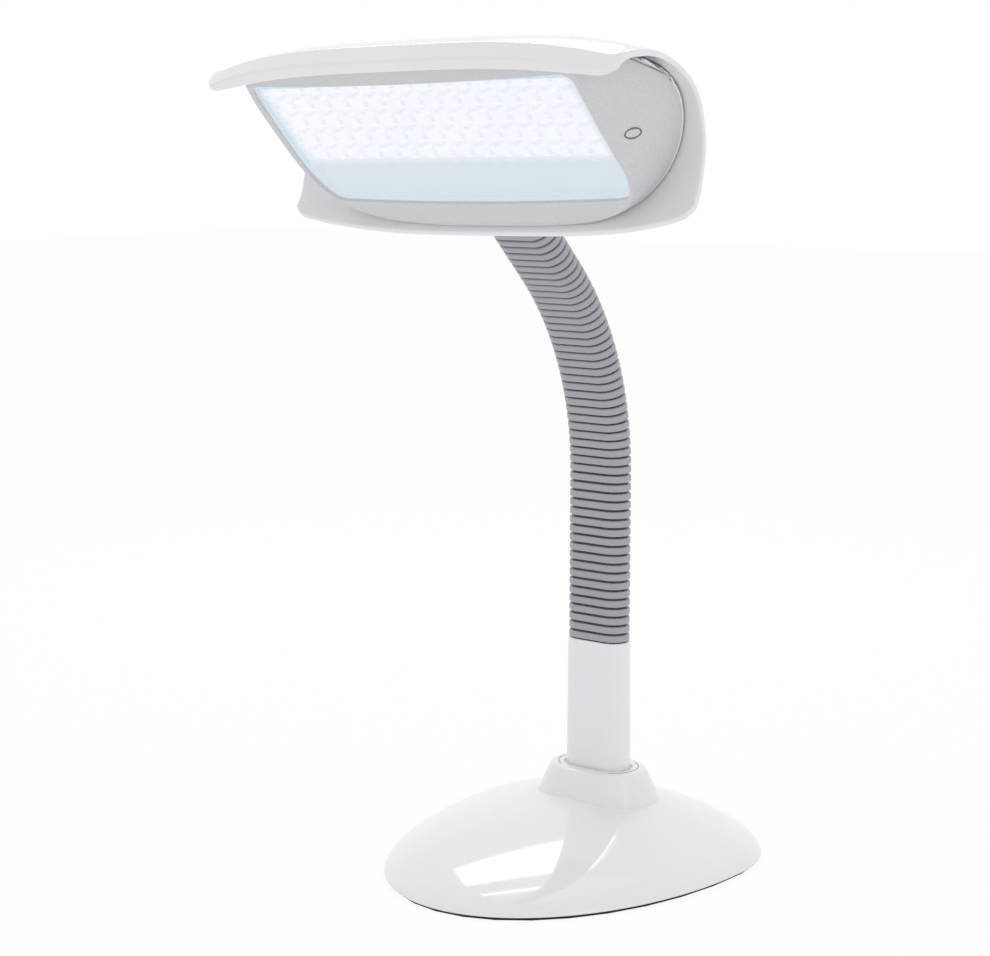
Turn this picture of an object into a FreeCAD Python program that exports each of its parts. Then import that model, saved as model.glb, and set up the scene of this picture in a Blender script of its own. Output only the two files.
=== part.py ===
import FreeCAD
import Part

import math
import os

from FreeCAD import Placement, Rotation, Vector

# Desk light therapy lamp with a bendable ribbed neck. Millimetres, +Z up, the light faces -Y.
# The origin is on the table under the stem.

# Base
base_half_width = 104.0
base_front_reach = 158.5
base_back_reach = 83.0
dome_height = 34.4
dome_wall = 2.6
dome_profile_power = 1.6
dome_cap_share = 0.12
dome_sections = 8
pad_thickness = 2.2
pad_inset = 2.5
plate_thickness = 2.5
plate_inset = 6.0
plate_clearance = 0.4
ballast_share = 0.66
ballast_thickness = 9.0
boss_radius = 4.0
boss_ring_share = 0.8
base_screw_radius = 1.6
base_screw_head_radius = 3.0
base_screw_head_height = 1.2
inlet_width = 14.0
inlet_height = 11.0
inlet_depth = 13.0
inlet_bore_radius = 2.9
inlet_pin_radius = 1.05
inlet_bore_depth = 9.5
inlet_clearance = 0.2
power_board_length = 46.0
power_board_width = 26.0
power_board_thickness = 1.6
power_board_offset = 50.0
spacer_radius = 2.5
spacer_height = 4.0

# Collar and stem
section_flat = 19.8
round_steps = 8
collar_foot_radius = 30.0
collar_mouth_radius = 20.5
collar_top = 48.5
collar_lip_width = 2.0
collar_lip_depth = 1.2
stem_top = 126.0
stem_foot_radius = 11.5
stem_top_radius = 10.6
stem_wall = 2.2
stem_clearance = 0.3
flange_radius = 17.0
flange_thickness = 3.0
flange_screw_radius = 1.7

# Neck
rib_pitch = 5.33
rib_radius = 10.0
groove_depth = 2.2
groove_width = 1.3
rib_flank = 0.5
bore_radius = 6.0
end_ribs = 5
link_ribs = 4
link_count = 11
neck_straight = 101.7
neck_bend_radius = 169.4
neck_bend_angle = 45.7
link_radius = 5.3
ball_radius = 3.8
ball_steps = 8
ball_clearance = 0.3
ball_neck_radius = 2.2
socket_lip = 2.3
tilt_gap = 1.9
anchor_depth = 30.0
spigot_height = 8.0
spigot_clearance = 0.4
web_thickness = 3.0

# Head, drawn lying flat with the light facing down, its front towards -Y
head_half_length = 134.5
head_turn = 1.5
rim_height = -8.0
crest_offset = 18.0
hood_front_middle = 53.0
hood_front_end = 39.0
hood_rear_middle = 78.5
hood_rear_end = 62.0
hood_rise_middle = 59.0
hood_rise_end = 50.0
hood_power = 1.8
hood_fade_power = 3.5
hood_wall = 3.4
visor_lip_wall = 8.0
hood_sections = 7
arch_points = 15
neck_axis_height = 14.2
socket_mouth = 80.0
socket_depth = 24.0
socket_radius = 13.0
pod_clearance = 1.0
pod_wall = 2.2
pod_half_length = 103.5
pod_end_gain = 24.0
pod_rear = 70.0
pod_rear_gain = 16.0
pod_gain_power = 0.55
pod_outline_power = 3.8
pod_outline_points = 32
pod_sections = 6
lens_depth = 8.0
lens_centre = 10.0
lens_long_radius = 1800.0
lens_short_radius = 600.0
lens_thickness = 2.0
window_half_length = 103.5
window_front = 34.0
window_rear = 54.0
window_corner = 15.0
led_columns = 17
led_rows = 5
led_pitch = 12.5
led_size = 5.0
led_height = 1.2
led_board_margin = 5.0
led_board_thickness = 1.6
tray_wall = 1.5
tray_half_length = 105.5
tray_front = 32.0
tray_rear = 55.0
tray_edge = -1.0
tray_corner = 4.0
sink_half_length = 88.0
sink_half_width = 26.0
sink_plate = 2.5
fin_height = 9.0
fin_thickness = 1.6
fin_count = 7
driver_half_length = 34.0
driver_half_width = 16.0
touch_radius = 5.0
touch_thickness = 1.0
touch_clearance = 0.15
touch_rear = 15.5
touch_height = 6.0
bracket_thickness = 3.0
bracket_half_length = 24.0
bracket_rise = 9.0
bracket_screw_radius = 1.8

# Shared workings


def solid_of(shape):
    """The one solid in a shape that a cut or a loft returned."""
    return shape.Solids[0] if len(shape.Solids) == 1 else shape


def loop(points):
    """A closed outline of straight pieces through points."""
    return Part.makePolygon(points + [points[0]])


def stadium(flat, radius, height):
    """A closed outline with two straight sides along X and two round ends, in a level plane."""
    half = flat / 2.0
    points = []
    for side in (1.0, -1.0):
        for step in range(round_steps + 1):
            turn = side * math.pi * (step / round_steps - 0.5)
            points.append(Vector(side * half + side * radius * math.cos(turn), radius * math.sin(turn), height))
    return loop(points)


def stadium_bar(flat, foot_radius, top_radius, foot, top):
    """A solid bar of stadium section between two heights, with its draft."""
    return Part.makeLoft([stadium(flat, foot_radius, foot), stadium(flat, top_radius, top)], True, True)


def block(x_low, x_high, y_low, y_high, z_low, z_high):
    return Part.makeBox(x_high - x_low, y_high - y_low, z_high - z_low, Vector(x_low, y_low, z_low))


def rounded_block(half_length, y_low, y_high, z_low, z_high, corner):
    """A flat block centred on x = 0 whose four upright edges are round."""
    body = block(-half_length, half_length, y_low, y_high, z_low, z_high)
    upright = [edge for edge in body.Edges if abs(edge.tangentAt(edge.FirstParameter).z) > 0.5]
    return body.makeFillet(corner, upright)


def upright_screw(x, y, head_bottom, head_radius, head_height, shank_radius, shank_length):
    """A screw driven upwards: its head below, its shank above."""
    head = Part.makeCylinder(head_radius, head_height, Vector(x, y, head_bottom))
    shank = Part.makeCylinder(shank_radius, shank_length, Vector(x, y, head_bottom + head_height))
    return head.fuse(shank).removeSplitter()


# Base

plate_bottom = pad_thickness
plate_top = plate_bottom + plate_thickness
ballast_top = plate_top + ballast_thickness


def egg_points(inset, share, height, count=36):
    """Points of the egg-shaped plan, shrunk by an inset and then scaled about the stem."""
    points = []
    for step in range(count):
        angle = 2.0 * math.pi * step / count
        reach = base_back_reach if math.sin(angle) > 0.0 else base_front_reach
        x = (base_half_width - inset) * math.cos(angle) * share
        y = (reach - inset) * math.sin(angle) * share
        points.append(Vector(x, y, height))
    return points


def egg_slab(inset, share, low, high):
    face = Part.Face(loop(egg_points(inset, share, low)))
    return face.extrude(Vector(0.0, 0.0, high - low))


def dome_level(share, top):
    """Height of the dome where its plan has shrunk to a share of the full plan."""
    rise = top - plate_bottom
    return plate_bottom + rise * (1.0 - share ** dome_profile_power) ** (1.0 / dome_profile_power)


def dome_solid(inset):
    """A solid dome, or with an inset the hollow inside it."""
    shares = []
    for step in range(dome_sections):
        turn = 0.5 * math.pi * step / (dome_sections - 1)
        shares.append(dome_cap_share + (1.0 - dome_cap_share) * math.cos(turn))
    rings = [loop(egg_points(inset, share, dome_level(share, dome_height - inset))) for share in shares]
    return Part.makeLoft(rings, True, True)


def boss_places():
    """Plan positions of the screw bosses on a smaller egg."""
    places = []
    for degrees in (35.0, 145.0, 225.0, 315.0):
        angle = math.radians(degrees)
        reach = base_back_reach if math.sin(angle) > 0.0 else base_front_reach
        x = base_half_width * boss_ring_share * math.cos(angle)
        y = reach * boss_ring_share * math.sin(angle)
        places.append((x, y))
    return places


def stem_hole(extra):
    return stadium_bar(
        section_flat, stem_foot_radius + extra, stem_foot_radius + extra, ballast_top, dome_height + 5.0
    )


def inlet_hole(extra):
    half = inlet_width / 2.0 + extra
    back = base_back_reach + 5.0
    return block(-half, half, inlet_front(), back, inlet_low() - extra, inlet_low() + inlet_height + extra)


def inlet_low():
    return plate_top


def inlet_front():
    return inlet_back() - inlet_depth


def inlet_back():
    """The inlet's mouth stands where the dome is as high as the middle of the inlet."""
    middle = inlet_low() + inlet_height / 2.0
    level = (middle - plate_bottom) / (dome_height - plate_bottom)
    share = (1.0 - level ** dome_profile_power) ** (1.0 / dome_profile_power)
    return base_back_reach * share


def make_base_shell():
    shell = dome_solid(0.0).cut(dome_solid(dome_wall))
    outer = dome_solid(0.0)
    for x, y in boss_places():
        boss = Part.makeCylinder(boss_radius, dome_height, Vector(x, y, plate_top + plate_clearance))
        shell = shell.fuse(boss.common(outer))
        pilot = Part.makeCylinder(base_screw_radius, boss_radius * 2.0, Vector(x, y, plate_top))
        shell = shell.cut(pilot)
    shell = shell.cut(stem_hole(stem_clearance))
    return solid_of(shell.cut(inlet_hole(inlet_clearance)))


def make_base_plate():
    plate = egg_slab(plate_inset, 1.0, plate_bottom, plate_top)
    for x, y in boss_places():
        head = Part.makeCylinder(
            base_screw_head_radius + plate_clearance, base_screw_head_height, Vector(x, y, plate_bottom)
        )
        shank = Part.makeCylinder(base_screw_radius, plate_thickness, Vector(x, y, plate_bottom))
        plate = plate.cut(head.fuse(shank))
    return solid_of(plate)


def make_foot_pad():
    return egg_slab(pad_inset, 1.0, 0.0, pad_thickness)


def make_base_screws():
    length = plate_thickness - base_screw_head_height + boss_radius
    screws = [
        upright_screw(
            x, y, plate_bottom, base_screw_head_radius, base_screw_head_height, base_screw_radius, length
        )
        for x, y in boss_places()
    ]
    return Part.makeCompound(screws)


def make_ballast():
    """The iron weight, cut back to leave room for the inlet and the power board."""
    weight = egg_slab(0.0, ballast_share, plate_top, ballast_top)
    room = block(
        -base_half_width, base_half_width, power_board_offset - power_board_width, base_back_reach,
        plate_top, ballast_top,
    )
    return solid_of(weight.cut(room))


def power_board_y():
    return inlet_front() - power_board_width - inlet_clearance


def make_power_board():
    low = plate_top + spacer_height
    half = power_board_length / 2.0
    return block(-half, half, power_board_y(), power_board_y() + power_board_width, low, low + power_board_thickness)


def make_board_spacers():
    half = power_board_length / 2.0 - spacer_radius
    low = power_board_y() + spacer_radius
    high = power_board_y() + power_board_width - spacer_radius
    posts = [
        Part.makeCylinder(spacer_radius, spacer_height, Vector(x, y, plate_top))
        for x in (-half, half)
        for y in (low, high)
    ]
    return Part.makeCompound(posts)


def make_inlet():
    """The low-voltage socket that the adapter plug goes into, with its centre pin."""
    half = inlet_width / 2.0
    outer_end = base_back_reach + inlet_depth
    body = block(-half, half, inlet_front(), outer_end, inlet_low(), inlet_low() + inlet_height)
    body = body.common(dome_solid(0.0))
    axis_height = inlet_low() + inlet_height / 2.0
    mouth = Vector(0.0, inlet_back() - inlet_bore_depth, axis_height)
    along = Vector(0.0, 1.0, 0.0)
    bore = Part.makeCylinder(inlet_bore_radius, inlet_bore_depth * 2.0, mouth, along)
    pin = Part.makeCylinder(inlet_pin_radius, inlet_bore_depth - 1.0, mouth, along)
    return solid_of(body.cut(bore).fuse(pin))


# Collar and stem


def make_collar():
    """The tapered collar round the foot of the stem, seated on the dome."""
    low = dome_level(0.45, dome_height)
    body = stadium_bar(section_flat, collar_foot_radius, collar_mouth_radius, low, collar_top)
    lip_radius = collar_mouth_radius - collar_lip_width
    recess = stadium_bar(section_flat, lip_radius, lip_radius, collar_top - collar_lip_depth, collar_top + 1.0)
    passage = stem_radius_at(collar_top) + stem_clearance
    hole = stadium_bar(section_flat, stem_radius_at(low) + stem_clearance, passage, low - 1.0, collar_top + 1.0)
    return solid_of(body.cut(recess).cut(hole).cut(dome_solid(0.0)))


def stem_radius_at(height):
    share = (height - ballast_top) / (stem_top - ballast_top)
    return stem_foot_radius + (stem_top_radius - stem_foot_radius) * share


def stem_foot():
    return ballast_top + flange_thickness


def make_stem_tube():
    outer = stadium_bar(section_flat, stem_radius_at(stem_foot()), stem_top_radius, stem_foot(), stem_top)
    inner = stadium_bar(
        section_flat,
        stem_radius_at(stem_foot()) - stem_wall, stem_top_radius - stem_wall,
        stem_foot() - 1.0, stem_top + 1.0,
    )
    return solid_of(outer.cut(inner))


def flange_screw_places():
    half = section_flat / 2.0 + flange_radius - flange_screw_radius * 2.0
    side = flange_radius / 3.0
    return [(x, y) for x in (-half, half) for y in (-side, side)]


def make_stem_flange():
    """The steel foot that the stem stands on, with a spigot up inside the stem."""
    plate = stadium_bar(section_flat, flange_radius, flange_radius, ballast_top, stem_foot())
    spigot_radius = stem_radius_at(stem_foot()) - stem_wall - spigot_clearance
    spigot = stadium_bar(section_flat, spigot_radius, spigot_radius, stem_foot(), stem_foot() + spigot_height)
    flange = plate.fuse(spigot)
    for x, y in flange_screw_places():
        flange = flange.cut(Part.makeCylinder(flange_screw_radius, flange_thickness, Vector(x, y, ballast_top)))
    return solid_of(flange.removeSplitter())


def make_flange_screws():
    screws = []
    for x, y in flange_screw_places():
        head = Part.makeCylinder(flange_screw_radius * 1.7, 1.5, Vector(x, y, stem_foot()))
        shank = Part.makeCylinder(flange_screw_radius, flange_thickness, Vector(x, y, ballast_top))
        screws.append(head.fuse(shank).removeSplitter())
    return Part.makeCompound(screws)


# Neck

rib_total = 2 * end_ribs + link_ribs * link_count
neck_length = rib_total * rib_pitch
bend_radians = math.radians(neck_bend_angle)
bend_length = neck_bend_radius * bend_radians


def neck_frame(length):
    """Where the neck's centre line is and how far it leans, a length up from the stem."""
    if length <= neck_straight:
        return Placement(Vector(0.0, 0.0, stem_top + length), Rotation())
    turn = min(length - neck_straight, bend_length) / neck_bend_radius
    run = max(length - neck_straight - bend_length, 0.0)
    y = -neck_bend_radius * (1.0 - math.cos(turn)) - run * math.sin(turn)
    z = stem_top + neck_straight + neck_bend_radius * math.sin(turn) + run * math.cos(turn)
    return Placement(Vector(0.0, y, z), Rotation(Vector(1.0, 0.0, 0.0), math.degrees(turn)))


def neck_section(length, radius):
    """The sleeve's outline a length up the neck, square to the centre line."""
    wire = stadium(section_flat, radius, 0.0)
    wire.Placement = neck_frame(length)
    return wire


def first_rib(piece):
    return 0 if piece == 0 else end_ribs + link_ribs * (piece - 1)


def last_rib(piece):
    return rib_total if piece == link_count + 1 else end_ribs + link_ribs * piece


def make_sleeve(piece):
    """One length of the ribbed sleeve: a ruled skin through four outlines a rib, and its bore."""
    floor_radius = rib_radius - groove_depth
    outlines = []
    for rib in range(first_rib(piece), last_rib(piece)):
        low = rib * rib_pitch + groove_width / 2.0
        high = (rib + 1) * rib_pitch - groove_width / 2.0
        if rib == 0:
            low = 0.0
        if rib == rib_total - 1:
            high = neck_length
        outlines.append(neck_section(low, floor_radius))
        outlines.append(neck_section(low + rib_flank, rib_radius))
        outlines.append(neck_section(high - rib_flank, rib_radius))
        outlines.append(neck_section(high, floor_radius))
    return solid_of(Part.makeLoft(outlines, True, True).cut(sleeve_bore(piece)))


def sleeve_bore(piece):
    """The space inside one length of the sleeve."""
    ribs = range(first_rib(piece), last_rib(piece) + 1)
    return Part.makeLoft([neck_section(rib * rib_pitch, bore_radius) for rib in ribs], True, True)


def carrier_web(piece):
    """The disc that fills the sleeve's bore half-way along it and so carries the sleeve."""
    middle = (first_rib(piece) + last_rib(piece)) * rib_pitch / 2.0
    slab = stadium_bar(section_flat, rib_radius, rib_radius, -web_thickness / 2.0, web_thickness / 2.0)
    slab.Placement = neck_frame(middle)
    return slab.common(sleeve_bore(piece))


def joint_length(number):
    """How far up the neck a joint lies; joint 1 is the lowest."""
    return (end_ribs + link_ribs * (number - 1)) * rib_pitch


def joint_centre(number):
    return neck_frame(joint_length(number)).Base


def between(low_point, high_point):
    """A placement at the low point whose Z axis looks at the high point."""
    return Placement(low_point, Rotation(Vector(0.0, 0.0, 1.0), high_point - low_point))


def ball(radius):
    """A ball turned from a profile of a few straight pieces."""
    points = []
    for step in range(ball_steps + 1):
        turn = math.pi * (step / ball_steps - 0.5)
        points.append(Vector(radius * math.cos(turn), 0.0, radius * math.sin(turn)))
    face = Part.Face(loop(points))
    return face.revolve(Vector(0.0, 0.0, 0.0), Vector(0.0, 0.0, 1.0), 360.0)


def ball_end(length):
    """The ball and its neck at the top of a link, a length above the link's own joint."""
    shoulder = length - socket_lip - tilt_gap
    stalk = Part.makeCylinder(ball_neck_radius, length - shoulder, Vector(0.0, 0.0, shoulder))
    knob = ball(ball_radius)
    knob.translate(Vector(0.0, 0.0, length))
    return stalk.fuse(knob)


def socket_end(body):
    return body.cut(ball(ball_radius + ball_clearance))


def make_link(number):
    """A core link: a socket round the joint below it, a ball in the joint above it."""
    low_point = joint_centre(number)
    high_point = joint_centre(number + 1)
    length = (high_point - low_point).Length
    shoulder = length - socket_lip - tilt_gap
    barrel = Part.makeCylinder(link_radius, shoulder + socket_lip, Vector(0.0, 0.0, -socket_lip))
    link = socket_end(barrel).fuse(ball_end(length))
    link.Placement = between(low_point, high_point)
    return solid_of(link.fuse(carrier_web(number)).removeSplitter())


def make_neck_anchor():
    """The plug that fixes the neck in the stem: it fills the stem's top and carries the first ball."""
    plug_radius = stem_top_radius - stem_wall
    plug = stadium_bar(section_flat, plug_radius, plug_radius, stem_top - anchor_depth, stem_top)
    length = joint_length(1)
    barrel = Part.makeCylinder(link_radius, length - socket_lip - tilt_gap)
    post = barrel.fuse(ball_end(length))
    post.translate(Vector(0.0, 0.0, stem_top))
    return solid_of(plug.fuse(post).removeSplitter())


# Head placement: its neck socket's mouth meets the end of the sleeve


def head_place(shape):
    """Carries a shape from the head's own flat frame to where the neck holds it."""
    end = neck_frame(neck_length)
    tilt = Rotation(Vector(1.0, 0.0, 0.0), neck_bend_angle - 90.0)
    tilt = tilt.multiply(Rotation(Vector(0.0, 1.0, 0.0), -head_turn))
    mouth = Vector(0.0, socket_mouth, neck_axis_height)
    placed = shape.copy()
    placed.Placement = Placement(end.Base - tilt.multVec(mouth), tilt).multiply(shape.Placement)
    return placed


# Hood


def fade(x):
    """One at the middle of the head, falling to zero at its ends."""
    return 1.0 - min(abs(x) / head_half_length, 1.0) ** hood_fade_power


def blend(end_value, middle_value, x):
    return end_value + (middle_value - end_value) * fade(x)


def arch_wire(x, front_wall, wall, skirt):
    """The hood's section at x, shrunk by a wall, closed a skirt below the rim."""
    front = blend(hood_front_end, hood_front_middle, x) + crest_offset - front_wall
    rear = blend(hood_rear_end, hood_rear_middle, x) - crest_offset - wall
    rise = blend(hood_rise_end, hood_rise_middle, x) - wall
    points = []
    for step in range(arch_points):
        turn = math.pi * (step / (arch_points - 1.0) - 0.5)
        reach = math.copysign(abs(math.sin(turn)) ** (2.0 / hood_power), turn)
        lift = abs(math.cos(turn)) ** (2.0 / hood_power)
        half = front if reach < 0.0 else rear
        points.append(Vector(x, crest_offset + half * reach, rim_height + rise * lift))
    first_foot = points[0] - Vector(0.0, 0.0, skirt)
    last_foot = points[-1] - Vector(0.0, 0.0, skirt)
    if skirt > 0.0:
        points += [last_foot, first_foot]
    return loop(points)


def vault(front_wall, wall, skirt, overrun):
    """The solid under the hood's section carried along the head."""
    wires = []
    for step in range(hood_sections):
        x = (head_half_length + overrun) * (2.0 * step / (hood_sections - 1.0) - 1.0)
        wires.append(arch_wire(x, front_wall, wall, skirt))
    return Part.makeLoft(wires, True, True)


def socket_bar(radius, low, high):
    """A stadium bar along the neck's axis where it enters the head."""
    bar = stadium_bar(section_flat, radius, radius, low, high)
    bar.Placement = Placement(
        Vector(0.0, 0.0, neck_axis_height), Rotation(Vector(1.0, 0.0, 0.0), -90.0)
    )
    return bar


def socket_passage():
    """The way through the rear of the hood and of the pod that the neck socket fills."""
    return socket_bar(socket_radius, bracket_foot(), socket_mouth + socket_depth)


def make_hood():
    shell = vault(0.0, 0.0, 0.0, 0.0).cut(vault(visor_lip_wall, hood_wall, 4.0, 1.0))
    return solid_of(shell.cut(socket_passage()))


def make_neck_socket():
    """The sleeve-ended boss that the neck plugs into, through the rear of the hood."""
    body = socket_bar(socket_radius, socket_mouth - socket_depth, socket_mouth)
    bore = Part.makeCylinder(
        link_radius, socket_depth + 2.0,
        Vector(0.0, socket_mouth - socket_depth - 1.0, neck_axis_height), Vector(0.0, 1.0, 0.0),
    )
    return solid_of(body.cut(bore))


def make_head_anchor():
    """The last core link: a socket round the top joint and a post fixed in the neck socket."""
    low_point = joint_centre(link_count + 1)
    high_point = neck_frame(neck_length).Base
    length = (high_point - low_point).Length + socket_depth
    barrel = Part.makeCylinder(link_radius, length + socket_lip, Vector(0.0, 0.0, -socket_lip))
    anchor = socket_end(barrel)
    anchor.Placement = between(low_point, high_point)
    return solid_of(anchor)


# Lamp pod


def lens_barrel(depth):
    """Everything behind the doubly curved front of the pod, a depth in front of the light board."""
    long_radius = lens_long_radius
    crown = Vector(0.0, lens_centre, -depth)
    half = pod_rear + window_front
    drop = lens_short_radius - math.sqrt(lens_short_radius ** 2 - half ** 2)
    front = Vector(0.0, lens_centre - half, -depth + drop)
    rear = Vector(0.0, lens_centre + half, -depth + drop)
    back = hood_rise_middle + visor_lip_wall
    edges = [
        Part.Arc(front, crown, rear).toShape(),
        Part.makeLine(rear, Vector(0.0, rear.y, back)),
        Part.makeLine(Vector(0.0, rear.y, back), Vector(0.0, front.y, back)),
        Part.makeLine(Vector(0.0, front.y, back), front),
    ]
    face = Part.Face(Part.Wire(edges))
    swing = math.degrees(math.asin((head_half_length + hood_wall) / (long_radius - back)))
    axis_point = Vector(0.0, 0.0, long_radius - depth)
    along = Vector(0.0, 1.0, 0.0)
    face.rotate(axis_point, along, swing)
    return face.revolve(axis_point, along, -2.0 * swing)


def pod_growth(height):
    """How far the pod's plan has grown at a height, from nothing at its front to one at the hood's crest."""
    climb = max(height + lens_depth, 0.0) / (hood_rise_middle + rim_height + lens_depth)
    return climb ** pod_gain_power


def pod_half(height):
    return pod_half_length + pod_end_gain * pod_growth(height)


def pod_outline(inset, height):
    """The pod's plan at a height, which widens towards the hood."""
    half_length = pod_half(height) - inset
    rear = pod_rear + pod_rear_gain * pod_growth(height) - inset
    front = hood_front_middle + crest_offset
    points = []
    for step in range(pod_outline_points):
        turn = 2.0 * math.pi * step / pod_outline_points
        across = math.copysign(abs(math.cos(turn)) ** (2.0 / pod_outline_power), math.cos(turn))
        along = math.copysign(abs(math.sin(turn)) ** (2.0 / pod_outline_power), math.sin(turn))
        reach = rear if along > 0.0 else front
        points.append(Vector(half_length * across, reach * along, height))
    return loop(points)


def pod_solid(inset, depth):
    """The pod as a solid: under the hood, within its outline, behind its domed front."""
    space = pod_clearance + inset
    under_hood = vault(visor_lip_wall + space, hood_wall + space, lens_depth, 1.0)
    low = -lens_depth - lens_thickness
    climb = hood_rise_middle + rim_height - low
    heights = [low + climb * (step / (pod_sections - 1.0)) ** 2 for step in range(pod_sections)]
    within = Part.makeLoft([pod_outline(inset, height) for height in heights], True, True)
    return under_hood.common(within).common(lens_barrel(depth))


def pod_inside():
    """The space inside the pod's frame."""
    return pod_solid(pod_wall, lens_depth - lens_thickness)


def window_block():
    """The window's outline as a tall block."""
    return rounded_block(
        window_half_length, -window_front, window_rear, -lens_depth * 2.0, led_board_thickness, window_corner
    )


def make_pod_bezel():
    """The frosted front frame and end panels round the window."""
    front = pod_solid(0.0, lens_depth).cut(pod_inside()).cut(socket_passage())
    return solid_of(front.cut(window_block()).cut(touch_disc(touch_clearance)))


def make_window():
    """The clear pane, flush in the bezel and as thick as its front."""
    pane = lens_barrel(lens_depth).cut(lens_barrel(lens_depth - lens_thickness))
    return solid_of(pane.common(window_block()))


def touch_disc(extra):
    """The touch pad let into the right end panel, square to it."""
    x = pod_half(touch_height)
    lean = math.degrees(math.atan2(pod_half(touch_height + touch_radius) - x, touch_radius))
    disc = Part.makeCylinder(touch_radius + extra, pod_wall * 2.0, Vector(0.0, 0.0, -touch_thickness))
    disc.Placement = Placement(
        Vector(x, touch_rear, touch_height), Rotation(Vector(0.0, 1.0, 0.0), 90.0 + lean)
    )
    return disc


def make_touch_pad():
    return solid_of(touch_disc(0.0).common(pod_solid(0.0, lens_depth)))


led_board_half_length = led_pitch * (led_columns - 1) / 2.0 + led_size / 2.0
led_board_half_width = led_pitch * (led_rows - 1) / 2.0 + led_board_margin


sink_low = led_board_thickness + tray_wall


def make_led_board():
    return block(
        -led_board_half_length, led_board_half_length, -led_board_half_width, led_board_half_width,
        0.0, led_board_thickness,
    )


def make_led_chips():
    chips = []
    for column in range(led_columns):
        for row in range(led_rows):
            x = (column - (led_columns - 1) / 2.0) * led_pitch
            y = (row - (led_rows - 1) / 2.0) * led_pitch
            half = led_size / 2.0
            chips.append(block(x - half, x + half, y - half, y + half, -led_height, 0.0))
    return Part.makeCompound(chips)


def make_reflector_tray():
    """The tray round the light board, with the flange that seats it inside the pod."""
    walls = rounded_block(tray_half_length, -tray_front, tray_rear, tray_edge, sink_low, tray_corner)
    flange = block(-head_half_length, head_half_length, -tray_front, tray_rear, led_board_thickness, sink_low)
    inner = rounded_block(
        tray_half_length - tray_wall, -tray_front + tray_wall, tray_rear - tray_wall,
        tray_edge - 1.0, led_board_thickness, tray_corner - tray_wall,
    )
    return solid_of(walls.fuse(flange).common(pod_inside()).cut(inner).removeSplitter())


def make_heat_sink():
    plate = block(
        -sink_half_length, sink_half_length, -sink_half_width, sink_half_width, sink_low, sink_low + sink_plate
    )
    pitch = (2.0 * sink_half_width - fin_thickness) / (fin_count - 1)
    for fin in range(fin_count):
        y = -sink_half_width + fin * pitch
        top = sink_low + sink_plate + fin_height
        plate = plate.fuse(block(-sink_half_length, sink_half_length, y, y + fin_thickness, sink_low, top))
    return solid_of(plate.removeSplitter())


def make_driver_board():
    low = sink_low + sink_plate + fin_height
    return block(
        -driver_half_length, driver_half_length, -driver_half_width, driver_half_width,
        low, low + power_board_thickness,
    )


def bracket_foot():
    return socket_mouth - socket_depth


def make_head_bracket():
    """The steel strap that ties the neck socket to the heat sink."""
    low = sink_low
    upright = block(
        -bracket_half_length, bracket_half_length, bracket_foot() - bracket_thickness, bracket_foot(),
        low, neck_axis_height + bracket_rise,
    )
    foot = block(
        -bracket_half_length, bracket_half_length, sink_half_width, bracket_foot(), low, low + bracket_thickness
    )
    strap = upright.fuse(foot).removeSplitter()
    for x in bracket_screw_places():
        hole = Part.makeCylinder(
            bracket_screw_radius, bracket_thickness * 3.0,
            Vector(x, bracket_foot() - bracket_thickness * 2.0, neck_axis_height), Vector(0.0, 1.0, 0.0),
        )
        strap = strap.cut(hole)
    return solid_of(strap)


def bracket_screw_places():
    half = section_flat / 2.0 + socket_radius / 2.0
    return (-half, half)


def make_bracket_screws():
    screws = []
    for x in bracket_screw_places():
        face = bracket_foot() - bracket_thickness
        along = Vector(0.0, 1.0, 0.0)
        head = Part.makeCylinder(
            bracket_screw_radius * 1.7, 1.6, Vector(x, face - 1.6, neck_axis_height), along
        )
        shank = Part.makeCylinder(
            bracket_screw_radius, bracket_thickness, Vector(x, face, neck_axis_height), along
        )
        screws.append(head.fuse(shank).removeSplitter())
    return Part.makeCompound(screws)


# Assembly

nodes = {
    "foot_pad": make_foot_pad(),
    "base_plate": make_base_plate(),
    "base_screws": make_base_screws(),
    "base_ballast": make_ballast(),
    "base_shell": make_base_shell(),
    "power_board": make_power_board(),
    "board_spacers": make_board_spacers(),
    "power_inlet": make_inlet(),
    "stem_collar": make_collar(),
    "stem_tube": make_stem_tube(),
    "stem_flange": make_stem_flange(),
    "flange_screws": make_flange_screws(),
    "neck_anchor": make_neck_anchor(),
    "head_anchor": make_head_anchor(),
}
for piece in range(link_count + 2):
    nodes["neck_sleeve_%02d" % piece] = make_sleeve(piece)
for number in range(1, link_count + 1):
    nodes["neck_link_%02d" % number] = make_link(number)

head_nodes = {
    "hood_shell": make_hood(),
    "neck_socket": make_neck_socket(),
    "pod_bezel": make_pod_bezel(),
    "window_pane": make_window(),
    "touch_pad": make_touch_pad(),
    "led_board": make_led_board(),
    "led_chips": make_led_chips(),
    "reflector_tray": make_reflector_tray(),
    "heat_sink": make_heat_sink(),
    "driver_board": make_driver_board(),
    "head_bracket": make_head_bracket(),
    "bracket_screws": make_bracket_screws(),
}
for name, shape in head_nodes.items():
    nodes[name] = head_place(shape)

os.makedirs("parts", exist_ok=True)
for name, shape in nodes.items():
    if not shape.isValid():
        print("not valid:", name)
    shape.exportStep("parts/%s.step" % name)
print(len(nodes), "nodes")
for number in range(1, link_count + 2):
    frame = neck_frame(joint_length(number))
    print("joint %d at %.2f %.2f lean %.2f" % (number, frame.Base.y, frame.Base.z, math.degrees(frame.Rotation.Angle)))
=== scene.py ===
"""Looks for the light therapy lamp: glossy housings, ribbed neck, lit window and a plain studio."""

from __future__ import annotations

import logging
import math
from dataclasses import dataclass
from enum import Enum
from typing import Any, Callable, Sequence

import bmesh
import bpy
import numpy as np
from mathutils import Matrix, Vector


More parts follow.
